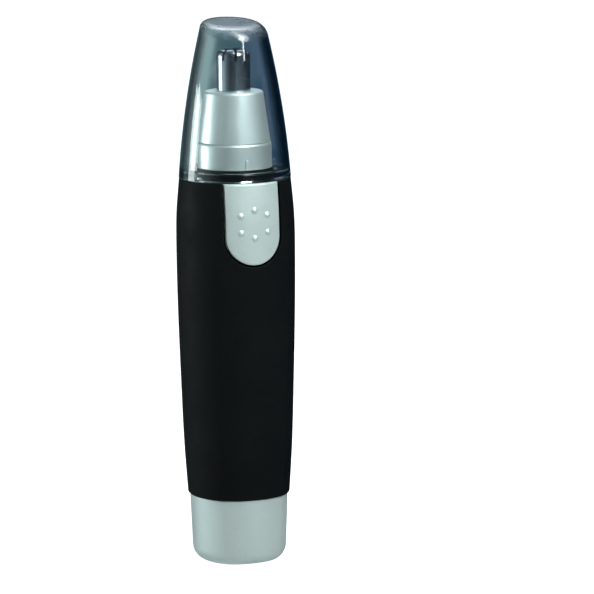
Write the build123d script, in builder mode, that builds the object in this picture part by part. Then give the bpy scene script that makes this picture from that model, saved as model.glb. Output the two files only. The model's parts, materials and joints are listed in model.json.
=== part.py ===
from build123d import *

import os
from math import cos, radians, sin

# Battery-powered nose hair trimmer: a rotary cutter head under a clear push-on cap, a grip of two
# half shells round a motor chassis, and a pull-off cover that closes the AA cell's compartment.
# Millimetres, +Z up the long axis, front (the switch side) towards -Y, origin at the middle of
# the flat base.

os.makedirs("parts", exist_ok=True)

# ---------------------------------------------------------------- driving dimensions
TOTAL_HEIGHT = 136.0
COVER_TOP = 17.0        # joint between the battery cover and the grip
GRIP_TOP = 96.5         # joint between the grip and the clear cap
RING_BASE = 99.0        # top of the neck, bottom of the lock ring
CONE_BASE = 105.5       # joint between the lock ring and the head cone
CONE_TOP = 118.0
CUTTER_TOP = 128.2
WALL = 1.6              # wall of the grip's shells
GAP = 0.05              # running and sliding clearance of round fits

# Grip stations: height, half width across the faces, angle of the soft edges from the front,
# and crown (face radius over edge radius, 1 would be a plain circle).
GRIP_STATIONS = (
    (COVER_TOP, 12.66, 38.6, 0.962),
    (30.0, 13.47, 39.2, 0.962),
    (46.0, 14.02, 39.8, 0.962),
    (62.0, 14.46, 41.0, 0.962),
    (76.0, 14.66, 41.0, 0.965),
    (87.0, 14.60, 36.5, 0.975),
    (GRIP_TOP, 13.84, 33.0, 0.988),
)
COVER_STATIONS = (
    (0.0, 11.45, 38.0, 0.962),
    (8.0, 11.82, 38.2, 0.962),
    (COVER_TOP - 0.1, 12.16, 38.6, 0.962),
)
EDGE_FILLET = 6.0       # rounding of the four soft edges
SHELL_EDGE = 0.4        # rounding of the shells' lower rim
COVER_BASE_FILLET = 3.3
WIDE = 40.0             # wider than anything here, for cuts that pass right through

# Battery cover and its contacts
COVER_FLOOR = 1.8
COVER_BORE = 9.6
SPIGOT_RADIUS = 10.9
SPIGOT_HEIGHT = 4.0
SHEET = 0.3             # contact metal
NEGATIVE_PLATE_RADIUS = 8.5
NEGATIVE_TAB_Y = 9.05
NEGATIVE_TAB_HEIGHT = 18.8
STRIP_Y = 8.75
STRIP_WIDTH = 3.0
STRIP_SHEET = 0.25
STRIP_BASE = 18.0
SPRING_WIRE = 0.3       # the cone-shaped spring under the cell
SPRING_RADIUS = 4.6
SPRING_PITCH = 0.77
SPRING_TAPER = -30

# AA cell
CELL_BASE = 5.0
CELL_LENGTH = 50.5
CELL_RADIUS = 7.25
WRAP = 0.15
WRAP_BASE = 0.6         # the wrap starts this far above the can's bottom
WRAP_EYE = 5.0          # radius of the wrap's hole round the positive cap
CAN_CHAMFER = 0.5
POSITIVE_RADIUS = 4.6
POSITIVE_SHEET = 0.2
NUB_RADIUS = 2.75
NUB_HEIGHT = 1.5
NUB_FILLET = 0.4

# Chassis and motor
TUBE_BORE = 7.6
TUBE_RADIUS = 8.6
TUBE_BASE = 22.0
BULKHEAD_BASE = 57.0
BULKHEAD = 1.5
CRADLE_BORE = 10.1
CRADLE_RADIUS = 11.2
RIB = 1.2
MOTOR_BASE = BULKHEAD_BASE + BULKHEAD
MOTOR_TOP = 84.0
MOTOR_RADIUS = 10.0
MOTOR_FLATS = 15.1
CAN_SHEET = 0.8
BUSHING_RADIUS = 2.2
BUSHING_SHELL = 0.8
BUSHING_HEIGHT = 1.5
SHELF = 1.7
SHELF_BORE = 3.6
SHELF_BACK_Y = -1.2
CRADLE_BACK_Y = 2.0     # the cradle is open behind this plane
POST_RADIUS = 1.2
POST_X = 9.4
POST_Y = -3.4
SHAFT_RADIUS = 1.0
SHAFT_TOP = 98.8
END_CAP = 2.5
END_CAP_FLOOR = 0.8
MAGNET_BORE = 7.2
MAGNET_WIDTH = 12.0
MAGNET_HEIGHT = 17.0
MAGNET_RISE = 2.5       # magnets above the can's lower edge
POLE_COUNT = 3
CORE_BASE = 66.0
CORE_TOP = 78.0
CORE_RADIUS = 6.3
CORE_RIM = 1.1
CORE_MOUTH = 2.2        # gap between two poles of the core
CORE_HUB = 2.4
POLE_WIDTH = 1.6
WINDING_RADIUS = 3.75
WINDING_DEPTH = 1.7
WINDING_WIDTH = 4.4
WINDING_OVERHANG = 1.2
COMMUTATOR_LENGTH = 2.6
COMMUTATOR_SLOT = 0.4
TERMINAL_SHEET = 0.4
MOTOR_TAB_WIDTH = 1.4
TERMINAL_RISE = 0.7     # motor terminals above the motor's lower end
CONTACT_SHEET = 0.5
CONTACT_RADIUS = 6.5
CONTACT_PIP = 1.6
CONTACT_TAB = 1.6
CONTACT_TAB_REACH = 9.0
PAD_WIDTH = 8.0
PAD_DEPTH = 4.3

# Push switch
PLATE_HALF_WIDTH = 6.9
PLATE_ARC_Z = 83.3      # centre of the plate's round lower end
PLATE_TOP = 96.4
PLATE_GROOVE = 0.55
PLATE_PROUD = 0.1
PLATE_DEPTH = 2.5
PLATE_FLANGE = 1.2
PLATE_FLANGE_TOP = 93.0
DOME_RADIUS = 0.93
DOME_HEIGHT = 0.35
DOME_PLACES = ((0, 89.9), (0, 83.0), (3.5, 88.6), (-3.5, 88.6), (3.5, 84.4), (-3.5, 84.4))
PLUNGER_Z = 89.0
PLUNGER_RADIUS = 1.4
PLUNGER_LENGTH = 3.2
SWITCH_FRONT_Y = -9.6
SWITCH_WIDTH = 6.8
SWITCH_DEPTH = 4.0
SWITCH_HEIGHT = 6.8
SWITCH_BORE_DEPTH = 2.6
SWITCH_SPRING_RADIUS = 2.0
SWITCH_SPRING_WIRE = 0.2
SWITCH_SPRING_PITCH = 0.5
SWITCH_SPRING_LENGTH = 0.75   # as short as it gets with the plate pressed
BOSS_FACE_Y = -11.5
BOSS_RADIUS = 2.6
BOSS_LENGTH = 2.0
LEAD_X = 4.2
LEAD_Y = -8.4
LEAD_RADIUS = 0.4
LEAD_HOLE = 0.7
TERMINAL_Z = 87.0
TERMINAL_LENGTH = 1.5
TERMINAL_WIDTH = 1.2

# Neck, lock ring and head
NECK_RADIUS = 9.6
NECK_SPIGOT = 8.0
NECK_SPIGOT_HEIGHT = 5.0
NECK_BORE = 6.8
NECK_PARTITION = 1.5
SEAL_RADIUS = 2.4
NECK_FLANGE_RADIUS = 12.2
NECK_FLANGE = 2.5
NECK_FLAT = 8.0         # the flange is cut back behind the switch plate
RING_BORE = 8.3
RING_FOOT_RADIUS = 9.3
RING_TOP_RADIUS = 9.2
RING_CHAMFER = 0.6
RING_CHAMFER_RADIUS = 9.0
MARK_WIDTH = 0.9        # raised alignment mark on the lock ring
MARK_HEIGHT = 2.7
MARK_FACE_Y = -9.45
MARK_DEPTH = 1.0
CONE_FOOT_RADIUS = 8.95
CONE_TOP_RADIUS = 7.25
CONE_BORE = 5.8
CONE_SEAT = 107.5       # where the cone's bore narrows above its foot
CONE_FOOT_BORE = 6.9
CONE_SKIRT_RADIUS = 8.1
CONE_SKIRT_BASE = 104.2
CONE_LIP = 1.5          # thickness of the cone's top round the cutter
CONE_FILLET = 0.6
RETAINER_BASE = 110.0
RETAINER_FLOOR = 2.5
RETAINER_WALL = 3.0     # height of the retainer's rim
RETAINER_RIM_BORE = 4.0
BUSH_RADIUS = 2.6
CUTTER_RADIUS = 4.2
CUTTER_BORE = 3.7
CUTTER_FLANGE_RADIUS = 5.4
CUTTER_FLANGE = 1.0
CUTTER_FILLET = 1.6
CUTTER_MOUTH = 2.3
CUTTER_LID = 0.5        # thickness of the cutter's slotted end
CUTTER_INNER_ROUND = 1.1
SLOT_COUNT = 8
SLOT_WIDTH = 0.65
SLOT_BASE = 125.5
SLOT_START = 35.5       # direction of the first slot, counter-clockwise from +X
SLOT_REACH = 6.0        # a slot's cut, from the axis to outside the tube
BLADE_RADIUS = 3.55
BLADE_THICKNESS = 0.8
BLADE_BASE = 116.0
BLADE_TOP = 127.4
BLADE_TIP_RADIUS = 2.4
BLADE_SHOULDER = 1.2
BLADE_FOOT = 2.5        # wings above the blade's hub base
BLADE_HUB_RADIUS = 1.9
BLADE_HUB_HEIGHT = 3.0
BLADE_SOCKET = 2.0
BLADE_SHAFT_RADIUS = 1.25
BLADE_SPRING_RADIUS = 1.9
BLADE_SPRING_WIRE = 0.25
BLADE_SPRING_PITCH = 1.0
BLADE_SPRING_LENGTH = 2.8
VANE_BASE = 99.8
VANE_LENGTH = 7.8
VANE_WIDTH = 0.9
VANE_HEIGHT = 3.2
COUPLING_RADIUS = 3.4
DOG_RADIUS = 4.2
DOG_BORE = 2.0
DOG_ARC = 50
DOG_HEIGHT = 4.4
DOG_ROOT = 0.6          # how far the dogs sink into the hub

# Clear cap
CAP_BASE = GRIP_TOP + GAP
CAP_BORE = 9.7          # bore of the thick seat round the cap's foot
CAP_WALL = 1.3
CAP_SEAT_TOP = 98.3
CAP_FOOT_RADIUS = 13.95
CAP_WAIST = (12.08, 113.5)      # radius and height half way up the wall
CAP_NECK = (9.15, 129.6)        # where the wall ends and the shoulder begins
CAP_SHOULDER = (8.0, 133.4)
CAP_END = (5.97, 135.5)         # where the shoulder meets the slightly domed end
CAP_DOME = (4.3, 135.87)
CAP_FLAT = 2.5          # radius of the flat in the middle of the cap's top
CAP_END_THICKNESS = 1.9
CAP_INNER_END = (4.9, 133.75)   # the same places inside
CAP_INNER_DOME = (3.8, 134.0)
CAP_INNER_SHOULDER = (6.8, 132.25)


# ---------------------------------------------------------------- grip outline
def grip_outline(station, inset):
    """Closed outline at one station: four crowned faces that meet in rounded edges."""
    height, half_width, edge_angle, crown = station
    face = half_width - inset
    edge = half_width / crown - inset
    across = edge * sin(radians(edge_angle))
    along = edge * cos(radians(edge_angle))
    with BuildSketch(Plane.XY.offset(height)) as outline:
        with BuildLine():
            ThreePointArc((-across, -along), (0, -face), (across, -along))
            ThreePointArc((across, -along), (face, 0), (across, along))
            ThreePointArc((across, along), (0, face), (-across, along))
            ThreePointArc((-across, along), (-face, 0), (-across, -along))
        make_face()
        fillet(outline.vertices(), radius=EDGE_FILLET)
    return outline.sketch


def grip_solid(stations, inset):
    """Solid lofted through the stations, its whole surface moved inwards by the inset."""
    with BuildPart() as solid:
        loft([grip_outline(station, inset) for station in stations])
    return solid.part


def switch_outline(margin, top):
    """U-shaped outline of the switch plate, grown by a margin, in the front plane."""
    half_width = PLATE_HALF_WIDTH + margin
    with BuildSketch(Plane.XZ) as outline:
        with BuildLine():
            Polyline((half_width, PLATE_ARC_Z), (half_width, top), (-half_width, top),
                     (-half_width, PLATE_ARC_Z))
            RadiusArc((-half_width, PLATE_ARC_Z), (half_width, PLATE_ARC_Z), -half_width)
        make_face()
    return outline.sketch


def coil(pitch, height, radius, wire, start, plane_normal=(0, 0, 1), taper=0):
    """Helical spring of round wire, from its start point along the normal."""
    with BuildPart() as spring:
        with BuildLine() as path:
            Helix(pitch, height, radius, center=start, direction=plane_normal, cone_angle=taper)
        with BuildSketch(path.line ^ 0):
            Circle(wire)
        sweep(is_frenet=True)
    return spring.part


grip_skin = grip_solid(GRIP_STATIONS, 0)
grip_hollow = grip_solid(GRIP_STATIONS, WALL)
window_outline = switch_outline(PLATE_GROOVE, GRIP_TOP + 1)
shell_depth = 20.0      # reaches from the axis past the front of the grip

# ---------------------------------------------------------------- battery cover
with BuildPart() as battery_cover:
    add(grip_solid(COVER_STATIONS, 0))
    fillet(battery_cover.edges().group_by(Axis.Z)[0], radius=COVER_BASE_FILLET)
    with BuildSketch(Plane.XY.offset(COVER_TOP - 0.1)):
        Circle(SPIGOT_RADIUS)
    extrude(amount=SPIGOT_HEIGHT)
    with BuildSketch(Plane.XY.offset(COVER_FLOOR)):
        Circle(COVER_BORE)
    extrude(amount=COVER_TOP + SPIGOT_HEIGHT, mode=Mode.SUBTRACT)

with BuildPart() as negative_plate:
    with BuildSketch(Plane.XY.offset(COVER_FLOOR)):
        Circle(NEGATIVE_PLATE_RADIUS)
        Rectangle(STRIP_WIDTH, NEGATIVE_TAB_Y + SHEET, align=(Align.CENTER, Align.MIN))
    extrude(amount=SHEET)
    with BuildSketch(Plane.XY.offset(COVER_FLOOR)):
        with Locations((0, NEGATIVE_TAB_Y)):
            Rectangle(STRIP_WIDTH, SHEET, align=(Align.CENTER, Align.MIN))
    extrude(amount=NEGATIVE_TAB_HEIGHT)

spring_base = COVER_FLOOR + SHEET + SPRING_WIRE
with BuildPart() as battery_spring:
    add(coil(SPRING_PITCH, CELL_BASE - SPRING_WIRE - spring_base, SPRING_RADIUS, SPRING_WIRE,
             (0, 0, spring_base), taper=SPRING_TAPER))

# ---------------------------------------------------------------- AA cell
cell_top = CELL_BASE + CELL_LENGTH
can_top = cell_top - NUB_HEIGHT
with BuildPart() as battery_can:
    with BuildSketch(Plane.XY.offset(CELL_BASE)):
        Circle(CELL_RADIUS - WRAP)
    extrude(amount=can_top - CELL_BASE)
    chamfer(battery_can.edges().group_by(Axis.Z)[0], length=CAN_CHAMFER)

with BuildPart() as battery_wrap:
    with BuildSketch(Plane.XY.offset(CELL_BASE + WRAP_BASE)):
        Circle(CELL_RADIUS)
        Circle(CELL_RADIUS - WRAP, mode=Mode.SUBTRACT)
    extrude(amount=can_top - CELL_BASE - WRAP_BASE)
    with BuildSketch(Plane.XY.offset(can_top)):
        Circle(CELL_RADIUS)
        Circle(WRAP_EYE, mode=Mode.SUBTRACT)
    extrude(amount=WRAP)

with BuildPart() as battery_positive_cap:
    with BuildSketch(Plane.XY.offset(can_top)):
        Circle(POSITIVE_RADIUS)
    extrude(amount=POSITIVE_SHEET)
    with BuildSketch(Plane.XY.offset(can_top)):
        Circle(NUB_RADIUS)
    extrude(amount=NUB_HEIGHT)
    fillet(battery_positive_cap.edges().group_by(Axis.Z)[-1], radius=NUB_FILLET)

# ---------------------------------------------------------------- grip shells
with BuildPart() as front_casing:
    add(grip_skin)
    fillet(front_casing.edges().group_by(Axis.Z)[0], radius=SHELL_EDGE)
    add(grip_hollow, mode=Mode.SUBTRACT)
    extrude(window_outline, amount=shell_depth, mode=Mode.SUBTRACT)
    split(bisect_by=Plane.XZ, keep=Keep.TOP)

with BuildPart() as rear_casing:
    add(grip_skin)
    fillet(rear_casing.edges().group_by(Axis.Z)[0], radius=SHELL_EDGE)
    add(grip_hollow, mode=Mode.SUBTRACT)
    split(bisect_by=Plane.XZ, keep=Keep.BOTTOM)

# ---------------------------------------------------------------- neck collar
flange_base = GRIP_TOP - NECK_FLANGE
partition_top = flange_base + NECK_PARTITION
with BuildPart() as neck_collar:
    with BuildSketch(Plane.XY.offset(flange_base)):
        Circle(NECK_FLANGE_RADIUS)
        with Locations((0, -NECK_FLANGE_RADIUS)):
            Rectangle(2 * NECK_FLANGE_RADIUS, 2 * (NECK_FLANGE_RADIUS - NECK_FLAT), mode=Mode.SUBTRACT)
    extrude(amount=NECK_FLANGE)
    with BuildSketch(Plane.XY.offset(GRIP_TOP)):
        Circle(NECK_RADIUS)
    extrude(amount=RING_BASE - GRIP_TOP)
    with BuildSketch(Plane.XY.offset(RING_BASE)):
        Circle(NECK_SPIGOT)
    extrude(amount=NECK_SPIGOT_HEIGHT)
    with BuildSketch(Plane.XY.offset(partition_top)):
        Circle(NECK_BORE)
    extrude(amount=RING_BASE + NECK_SPIGOT_HEIGHT - partition_top, mode=Mode.SUBTRACT)
    with BuildSketch(Plane.XY.offset(flange_base)):
        Circle(SEAL_RADIUS)
    extrude(amount=NECK_PARTITION, mode=Mode.SUBTRACT)

with BuildPart() as shaft_seal:
    with BuildSketch(Plane.XY.offset(flange_base)):
        Circle(SEAL_RADIUS)
        Circle(SHAFT_RADIUS + GAP, mode=Mode.SUBTRACT)
    extrude(amount=NECK_PARTITION)

# ---------------------------------------------------------------- chassis
with BuildPart() as chassis:
    with BuildSketch(Plane.XY.offset(TUBE_BASE)):
        Circle(TUBE_RADIUS)
        with PolarLocations(0, 4, start_angle=45):
            Rectangle(CRADLE_RADIUS, RIB, align=(Align.MIN, Align.CENTER))
        Rectangle(STRIP_WIDTH + 1, STRIP_Y, align=(Align.CENTER, Align.MIN))
        Circle(TUBE_BORE, mode=Mode.SUBTRACT)
    extrude(amount=BULKHEAD_BASE - TUBE_BASE)
    with BuildSketch(Plane.XY.offset(BULKHEAD_BASE)):
        Circle(CRADLE_RADIUS)
        with Locations((-LEAD_X, LEAD_Y)):
            Circle(LEAD_HOLE, mode=Mode.SUBTRACT)
        with Locations((0, STRIP_Y)):
            Rectangle(STRIP_WIDTH + 0.4, STRIP_WIDTH, align=(Align.CENTER, Align.MIN), mode=Mode.SUBTRACT)
    extrude(amount=BULKHEAD)
    with BuildSketch(Plane.XY.offset(MOTOR_BASE)):
        Circle(CRADLE_RADIUS)
        Circle(CRADLE_BORE, mode=Mode.SUBTRACT)
        with Locations((0, CRADLE_BACK_Y)):
            Rectangle(WIDE, WIDE, align=(Align.CENTER, Align.MIN), mode=Mode.SUBTRACT)
    extrude(amount=MOTOR_TOP - MOTOR_BASE)
    # shelf over the motor, which carries the switch
    with BuildSketch(Plane.XY.offset(MOTOR_TOP)):
        Circle(CRADLE_RADIUS)
        Circle(SHELF_BORE, mode=Mode.SUBTRACT)
        with Locations((0, SHELF_BACK_Y)):
            Rectangle(WIDE, WIDE, align=(Align.CENTER, Align.MIN), mode=Mode.SUBTRACT)
        with Locations((-LEAD_X, LEAD_Y), (LEAD_X, LEAD_Y)):
            Circle(LEAD_HOLE, mode=Mode.SUBTRACT)
    extrude(amount=SHELF)
    # posts up to the neck collar
    with BuildSketch(Plane.XY.offset(MOTOR_TOP + SHELF)):
        with Locations((-POST_X, POST_Y), (POST_X, POST_Y)):
            Circle(POST_RADIUS)
    extrude(amount=flange_base - MOTOR_TOP - SHELF)
    # slot that lets the positive contact's tab out of the battery tube
    with BuildSketch(Plane.XY.offset(BULKHEAD_BASE - CONTACT_SHEET - 0.1)):
        with Locations((-LEAD_X, -TUBE_BORE)):
            Rectangle(CONTACT_TAB + 0.4, 2.5 * CONTACT_TAB)
    extrude(amount=CONTACT_SHEET + 0.1, mode=Mode.SUBTRACT)

pip_base = cell_top + 0.1
with BuildPart() as positive_contact:
    with BuildSketch(Plane.XY.offset(BULKHEAD_BASE - CONTACT_SHEET)):
        Circle(CONTACT_RADIUS)
        with Locations((-LEAD_X, 0)):
            Rectangle(CONTACT_TAB, CONTACT_TAB_REACH, align=(Align.CENTER, Align.MAX))
    extrude(amount=CONTACT_SHEET)
    with BuildSketch(Plane.XY.offset(pip_base)):
        Circle(CONTACT_PIP)
    extrude(amount=BULKHEAD_BASE - CONTACT_SHEET - pip_base)
    fillet(positive_contact.edges().group_by(Axis.Z)[0], radius=CONTACT_PIP / 3)

terminal_base = MOTOR_BASE + TERMINAL_RISE
with BuildPart() as negative_strip:
    with BuildSketch(Plane.XY.offset(STRIP_BASE)):
        with Locations((0, STRIP_Y)):
            Rectangle(STRIP_WIDTH, STRIP_SHEET, align=(Align.CENTER, Align.MIN))
    extrude(amount=terminal_base - STRIP_BASE)

# ---------------------------------------------------------------- motor, fixed half
can_base = MOTOR_BASE + END_CAP
with BuildPart() as motor_can:
    with BuildSketch(Plane.XY.offset(can_base)):
        Circle(MOTOR_RADIUS)
        Rectangle(2 * MOTOR_RADIUS, MOTOR_FLATS, mode=Mode.INTERSECT)
    extrude(amount=MOTOR_TOP - can_base)
    with BuildSketch(Plane.XY.offset(can_base)):
        Circle(MOTOR_RADIUS - CAN_SHEET)
        Rectangle(2 * MOTOR_RADIUS, MOTOR_FLATS - 2 * CAN_SHEET, mode=Mode.INTERSECT)
    extrude(amount=MOTOR_TOP - can_base - CAN_SHEET, mode=Mode.SUBTRACT)
    with BuildSketch(Plane.XY.offset(MOTOR_TOP)):
        Circle(BUSHING_RADIUS + BUSHING_SHELL)
    extrude(amount=BUSHING_HEIGHT)
    with BuildSketch(Plane.XY.offset(MOTOR_TOP - CAN_SHEET)):
        Circle(BUSHING_RADIUS)
    extrude(amount=CAN_SHEET + BUSHING_HEIGHT, mode=Mode.SUBTRACT)

with BuildPart() as motor_bushing:
    with BuildSketch(Plane.XY.offset(MOTOR_TOP - CAN_SHEET)):
        Circle(BUSHING_RADIUS)
        Circle(SHAFT_RADIUS + GAP, mode=Mode.SUBTRACT)
    extrude(amount=CAN_SHEET + BUSHING_HEIGHT)

with BuildPart() as motor_end_cap:
    with BuildSketch(Plane.XY.offset(MOTOR_BASE)):
        Circle(MOTOR_RADIUS)
        Rectangle(2 * MOTOR_RADIUS, MOTOR_FLATS, mode=Mode.INTERSECT)
    extrude(amount=END_CAP)
    with BuildSketch(Plane.XY.offset(MOTOR_BASE + END_CAP_FLOOR)):
        Circle(SHAFT_RADIUS + GAP)
    extrude(amount=END_CAP, mode=Mode.SUBTRACT)

with BuildPart() as motor_magnets:
    with BuildSketch(Plane.XY.offset(can_base + MAGNET_RISE)):
        Circle(MOTOR_RADIUS - CAN_SHEET)
        Circle(MAGNET_BORE, mode=Mode.SUBTRACT)
        Rectangle(2 * MOTOR_RADIUS, MAGNET_WIDTH, mode=Mode.INTERSECT)
    extrude(amount=MAGNET_HEIGHT)

with BuildPart() as motor_terminals:
    with BuildSketch(Plane.XY.offset(terminal_base)):
        with Locations((LEAD_X, -MOTOR_FLATS / 2)):
            Rectangle(MOTOR_TAB_WIDTH, -LEAD_Y + 0.3 - MOTOR_FLATS / 2, align=(Align.CENTER, Align.MAX))
        with Locations((0, MOTOR_FLATS / 2)):
            Rectangle(MOTOR_TAB_WIDTH, STRIP_Y + STRIP_SHEET + 0.15 - MOTOR_FLATS / 2,
                      align=(Align.CENTER, Align.MIN))
    extrude(amount=TERMINAL_SHEET)

with BuildPart() as motor_pad:
    with BuildSketch(Plane.XY.offset(CORE_BASE)):
        with Locations((0, MOTOR_FLATS / 2)):
            Rectangle(PAD_WIDTH, PAD_DEPTH, align=(Align.CENTER, Align.MIN))
    extrude(amount=CORE_TOP - CORE_BASE)
    chamfer(motor_pad.edges().filter_by(Axis.Z).group_by(Axis.Y)[-1], length=PAD_WIDTH / 10)

# ---------------------------------------------------------------- switch
plate_skin = grip_solid(GRIP_STATIONS, -PLATE_PROUD)
plate_back = grip_solid(GRIP_STATIONS, PLATE_DEPTH)
flange_skin = grip_solid(GRIP_STATIONS, WALL + 0.1)


def front_point(across, height):
    """Point of the switch plate's face at a place across and up the front."""
    hits = plate_skin.find_intersection_points(Axis((across, 0, height), (0, -1, 0)))
    return min((hit[0] for hit in hits), key=lambda point: point.Y)


dome_sink = DOME_RADIUS - DOME_HEIGHT
dome_centres = []
for across, height in DOME_PLACES:
    crest = front_point(across, height)
    outward = Vector(crest.X, crest.Y, 0).normalized()
    dome_centres.append(crest - outward * dome_sink)

with BuildPart() as plate_flange:
    add(flange_skin)
    extrude(switch_outline(PLATE_FLANGE, PLATE_FLANGE_TOP), amount=shell_depth, mode=Mode.INTERSECT)

with BuildPart() as switch_button:
    add(plate_skin)
    extrude(switch_outline(0, PLATE_TOP), amount=shell_depth, mode=Mode.INTERSECT)
    add(plate_flange.part)
    add(plate_back, mode=Mode.SUBTRACT)
    with BuildSketch(Plane.XZ.offset(-BOSS_FACE_Y)):
        with Locations((0, PLUNGER_Z)):
            Circle(BOSS_RADIUS)
    extrude(amount=BOSS_LENGTH)
    with Locations(*dome_centres):
        Sphere(DOME_RADIUS)

with BuildPart() as switch_plunger:
    with BuildSketch(Plane.XZ.offset(-BOSS_FACE_Y)):
        with Locations((0, PLUNGER_Z)):
            Circle(PLUNGER_RADIUS)
    extrude(amount=-PLUNGER_LENGTH)

with BuildPart() as switch_spring:
    add(coil(SWITCH_SPRING_PITCH, SWITCH_SPRING_LENGTH, SWITCH_SPRING_RADIUS, SWITCH_SPRING_WIRE,
             (0, BOSS_FACE_Y + SWITCH_SPRING_WIRE + GAP, PLUNGER_Z), plane_normal=(0, 1, 0)))

with BuildPart() as switch_housing:
    with BuildSketch(Plane.XY.offset(MOTOR_TOP + SHELF)):
        with Locations((0, SWITCH_FRONT_Y)):
            Rectangle(SWITCH_WIDTH, SWITCH_DEPTH, align=(Align.CENTER, Align.MIN))
    extrude(amount=SWITCH_HEIGHT)
    with BuildSketch(Plane.XZ.offset(-SWITCH_FRONT_Y)):
        with Locations((0, PLUNGER_Z)):
            Circle(PLUNGER_RADIUS + 0.2)
    extrude(amount=-SWITCH_BORE_DEPTH, mode=Mode.SUBTRACT)

with BuildPart() as switch_terminals:
    with BuildSketch(Plane.XY.offset(TERMINAL_Z)):
        with Locations((SWITCH_WIDTH / 2, LEAD_Y)):
            Rectangle(TERMINAL_LENGTH, TERMINAL_WIDTH, align=(Align.MIN, Align.CENTER))
        with Locations((-SWITCH_WIDTH / 2, LEAD_Y)):
            Rectangle(TERMINAL_LENGTH, TERMINAL_WIDTH, align=(Align.MAX, Align.CENTER))
    extrude(amount=TERMINAL_SHEET)

with BuildPart() as lead_wires:
    with BuildSketch(Plane.XY.offset(BULKHEAD_BASE)):
        with Locations((-LEAD_X, LEAD_Y)):
            Circle(LEAD_RADIUS)
    extrude(amount=TERMINAL_Z - BULKHEAD_BASE)
    with BuildSketch(Plane.XY.offset(terminal_base + TERMINAL_SHEET)):
        with Locations((LEAD_X, LEAD_Y)):
            Circle(LEAD_RADIUS)
    extrude(amount=TERMINAL_Z - terminal_base - TERMINAL_SHEET)

# ---------------------------------------------------------------- motor, turning half
shaft_base = MOTOR_BASE + END_CAP_FLOOR + 0.1
with BuildPart() as motor_shaft:
    with BuildSketch(Plane.XY.offset(shaft_base)):
        Circle(SHAFT_RADIUS)
    extrude(amount=SHAFT_TOP - shaft_base)

core_bore = CORE_RADIUS - CORE_RIM
core_length = CORE_TOP - CORE_BASE
with BuildPart() as motor_armature:
    with BuildSketch(Plane.XY.offset(CORE_BASE)):
        Circle(CORE_RADIUS)
        Circle(core_bore, mode=Mode.SUBTRACT)
        with PolarLocations(CORE_RADIUS, POLE_COUNT, start_angle=180 / POLE_COUNT):
            Rectangle(3 * CORE_RIM, CORE_MOUTH, mode=Mode.SUBTRACT)
        with PolarLocations(0, POLE_COUNT):
            Rectangle(core_bore + CORE_RIM / 2, POLE_WIDTH, align=(Align.MIN, Align.CENTER))
        Circle(CORE_HUB)
        Circle(SHAFT_RADIUS, mode=Mode.SUBTRACT)
    extrude(amount=core_length)

with BuildPart() as armature_windings:
    with BuildSketch(Plane.XY.offset(CORE_BASE - WINDING_OVERHANG)):
        with PolarLocations(WINDING_RADIUS, POLE_COUNT):
            Rectangle(WINDING_DEPTH, WINDING_WIDTH)
    extrude(amount=core_length + 2 * WINDING_OVERHANG)
    with BuildSketch(Plane.XY.offset(CORE_BASE)):
        with PolarLocations(WINDING_RADIUS, POLE_COUNT):
            Rectangle(WINDING_DEPTH, POLE_WIDTH)
    extrude(amount=core_length, mode=Mode.SUBTRACT)

with BuildPart() as commutator:
    with BuildSketch(Plane.XY.offset(can_base + CAN_SHEET)):
        Circle(CORE_HUB)
        with PolarLocations(CORE_HUB, POLE_COUNT, start_angle=180 / POLE_COUNT):
            Rectangle(1.0, COMMUTATOR_SLOT, mode=Mode.SUBTRACT)
        Circle(SHAFT_RADIUS, mode=Mode.SUBTRACT)
    extrude(amount=COMMUTATOR_LENGTH)

hub_base = partition_top + 0.2
hub_top = VANE_BASE - 0.4
with BuildPart() as drive_coupling:
    with BuildSketch(Plane.XY.offset(hub_base)):
        Circle(COUPLING_RADIUS)
    extrude(amount=hub_top - hub_base)
    with BuildSketch(Plane.XY.offset(hub_base)):
        Circle(SHAFT_RADIUS)
    extrude(amount=SHAFT_TOP - hub_base, mode=Mode.SUBTRACT)
    with BuildSketch(Plane.XY.offset(hub_top - DOG_ROOT)):
        with BuildLine():
            CenterArc((0, 0), DOG_RADIUS, 90 - DOG_ARC / 2, DOG_ARC)
            CenterArc((0, 0), DOG_BORE, 90 - DOG_ARC / 2, DOG_ARC)
            for side in (-1, 1):
                edge_angle = radians(90 + side * DOG_ARC / 2)
                Line((DOG_BORE * cos(edge_angle), DOG_BORE * sin(edge_angle)),
                     (DOG_RADIUS * cos(edge_angle), DOG_RADIUS * sin(edge_angle)))
        make_face()
        mirror(about=Plane.XZ)
    extrude(amount=DOG_HEIGHT)

# ---------------------------------------------------------------- lock ring
with BuildPart() as lock_ring:
    with BuildSketch(Plane.XZ):
        with BuildLine():
            Polyline((RING_BORE, RING_BASE + GAP), (RING_FOOT_RADIUS, RING_BASE + GAP),
                     (RING_TOP_RADIUS, CONE_BASE - RING_CHAMFER),
                     (RING_CHAMFER_RADIUS, CONE_BASE - GAP), (RING_BORE, CONE_BASE - GAP), close=True)
        make_face()
    revolve(axis=Axis.Z)
    # raised alignment mark in line with the switch
    with BuildSketch(Plane.XZ.offset(-MARK_FACE_Y)):
        with Locations((0, RING_BASE + GAP)):
            Rectangle(MARK_WIDTH, MARK_HEIGHT, align=(Align.CENTER, Align.MIN))
    extrude(amount=-MARK_DEPTH)

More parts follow.
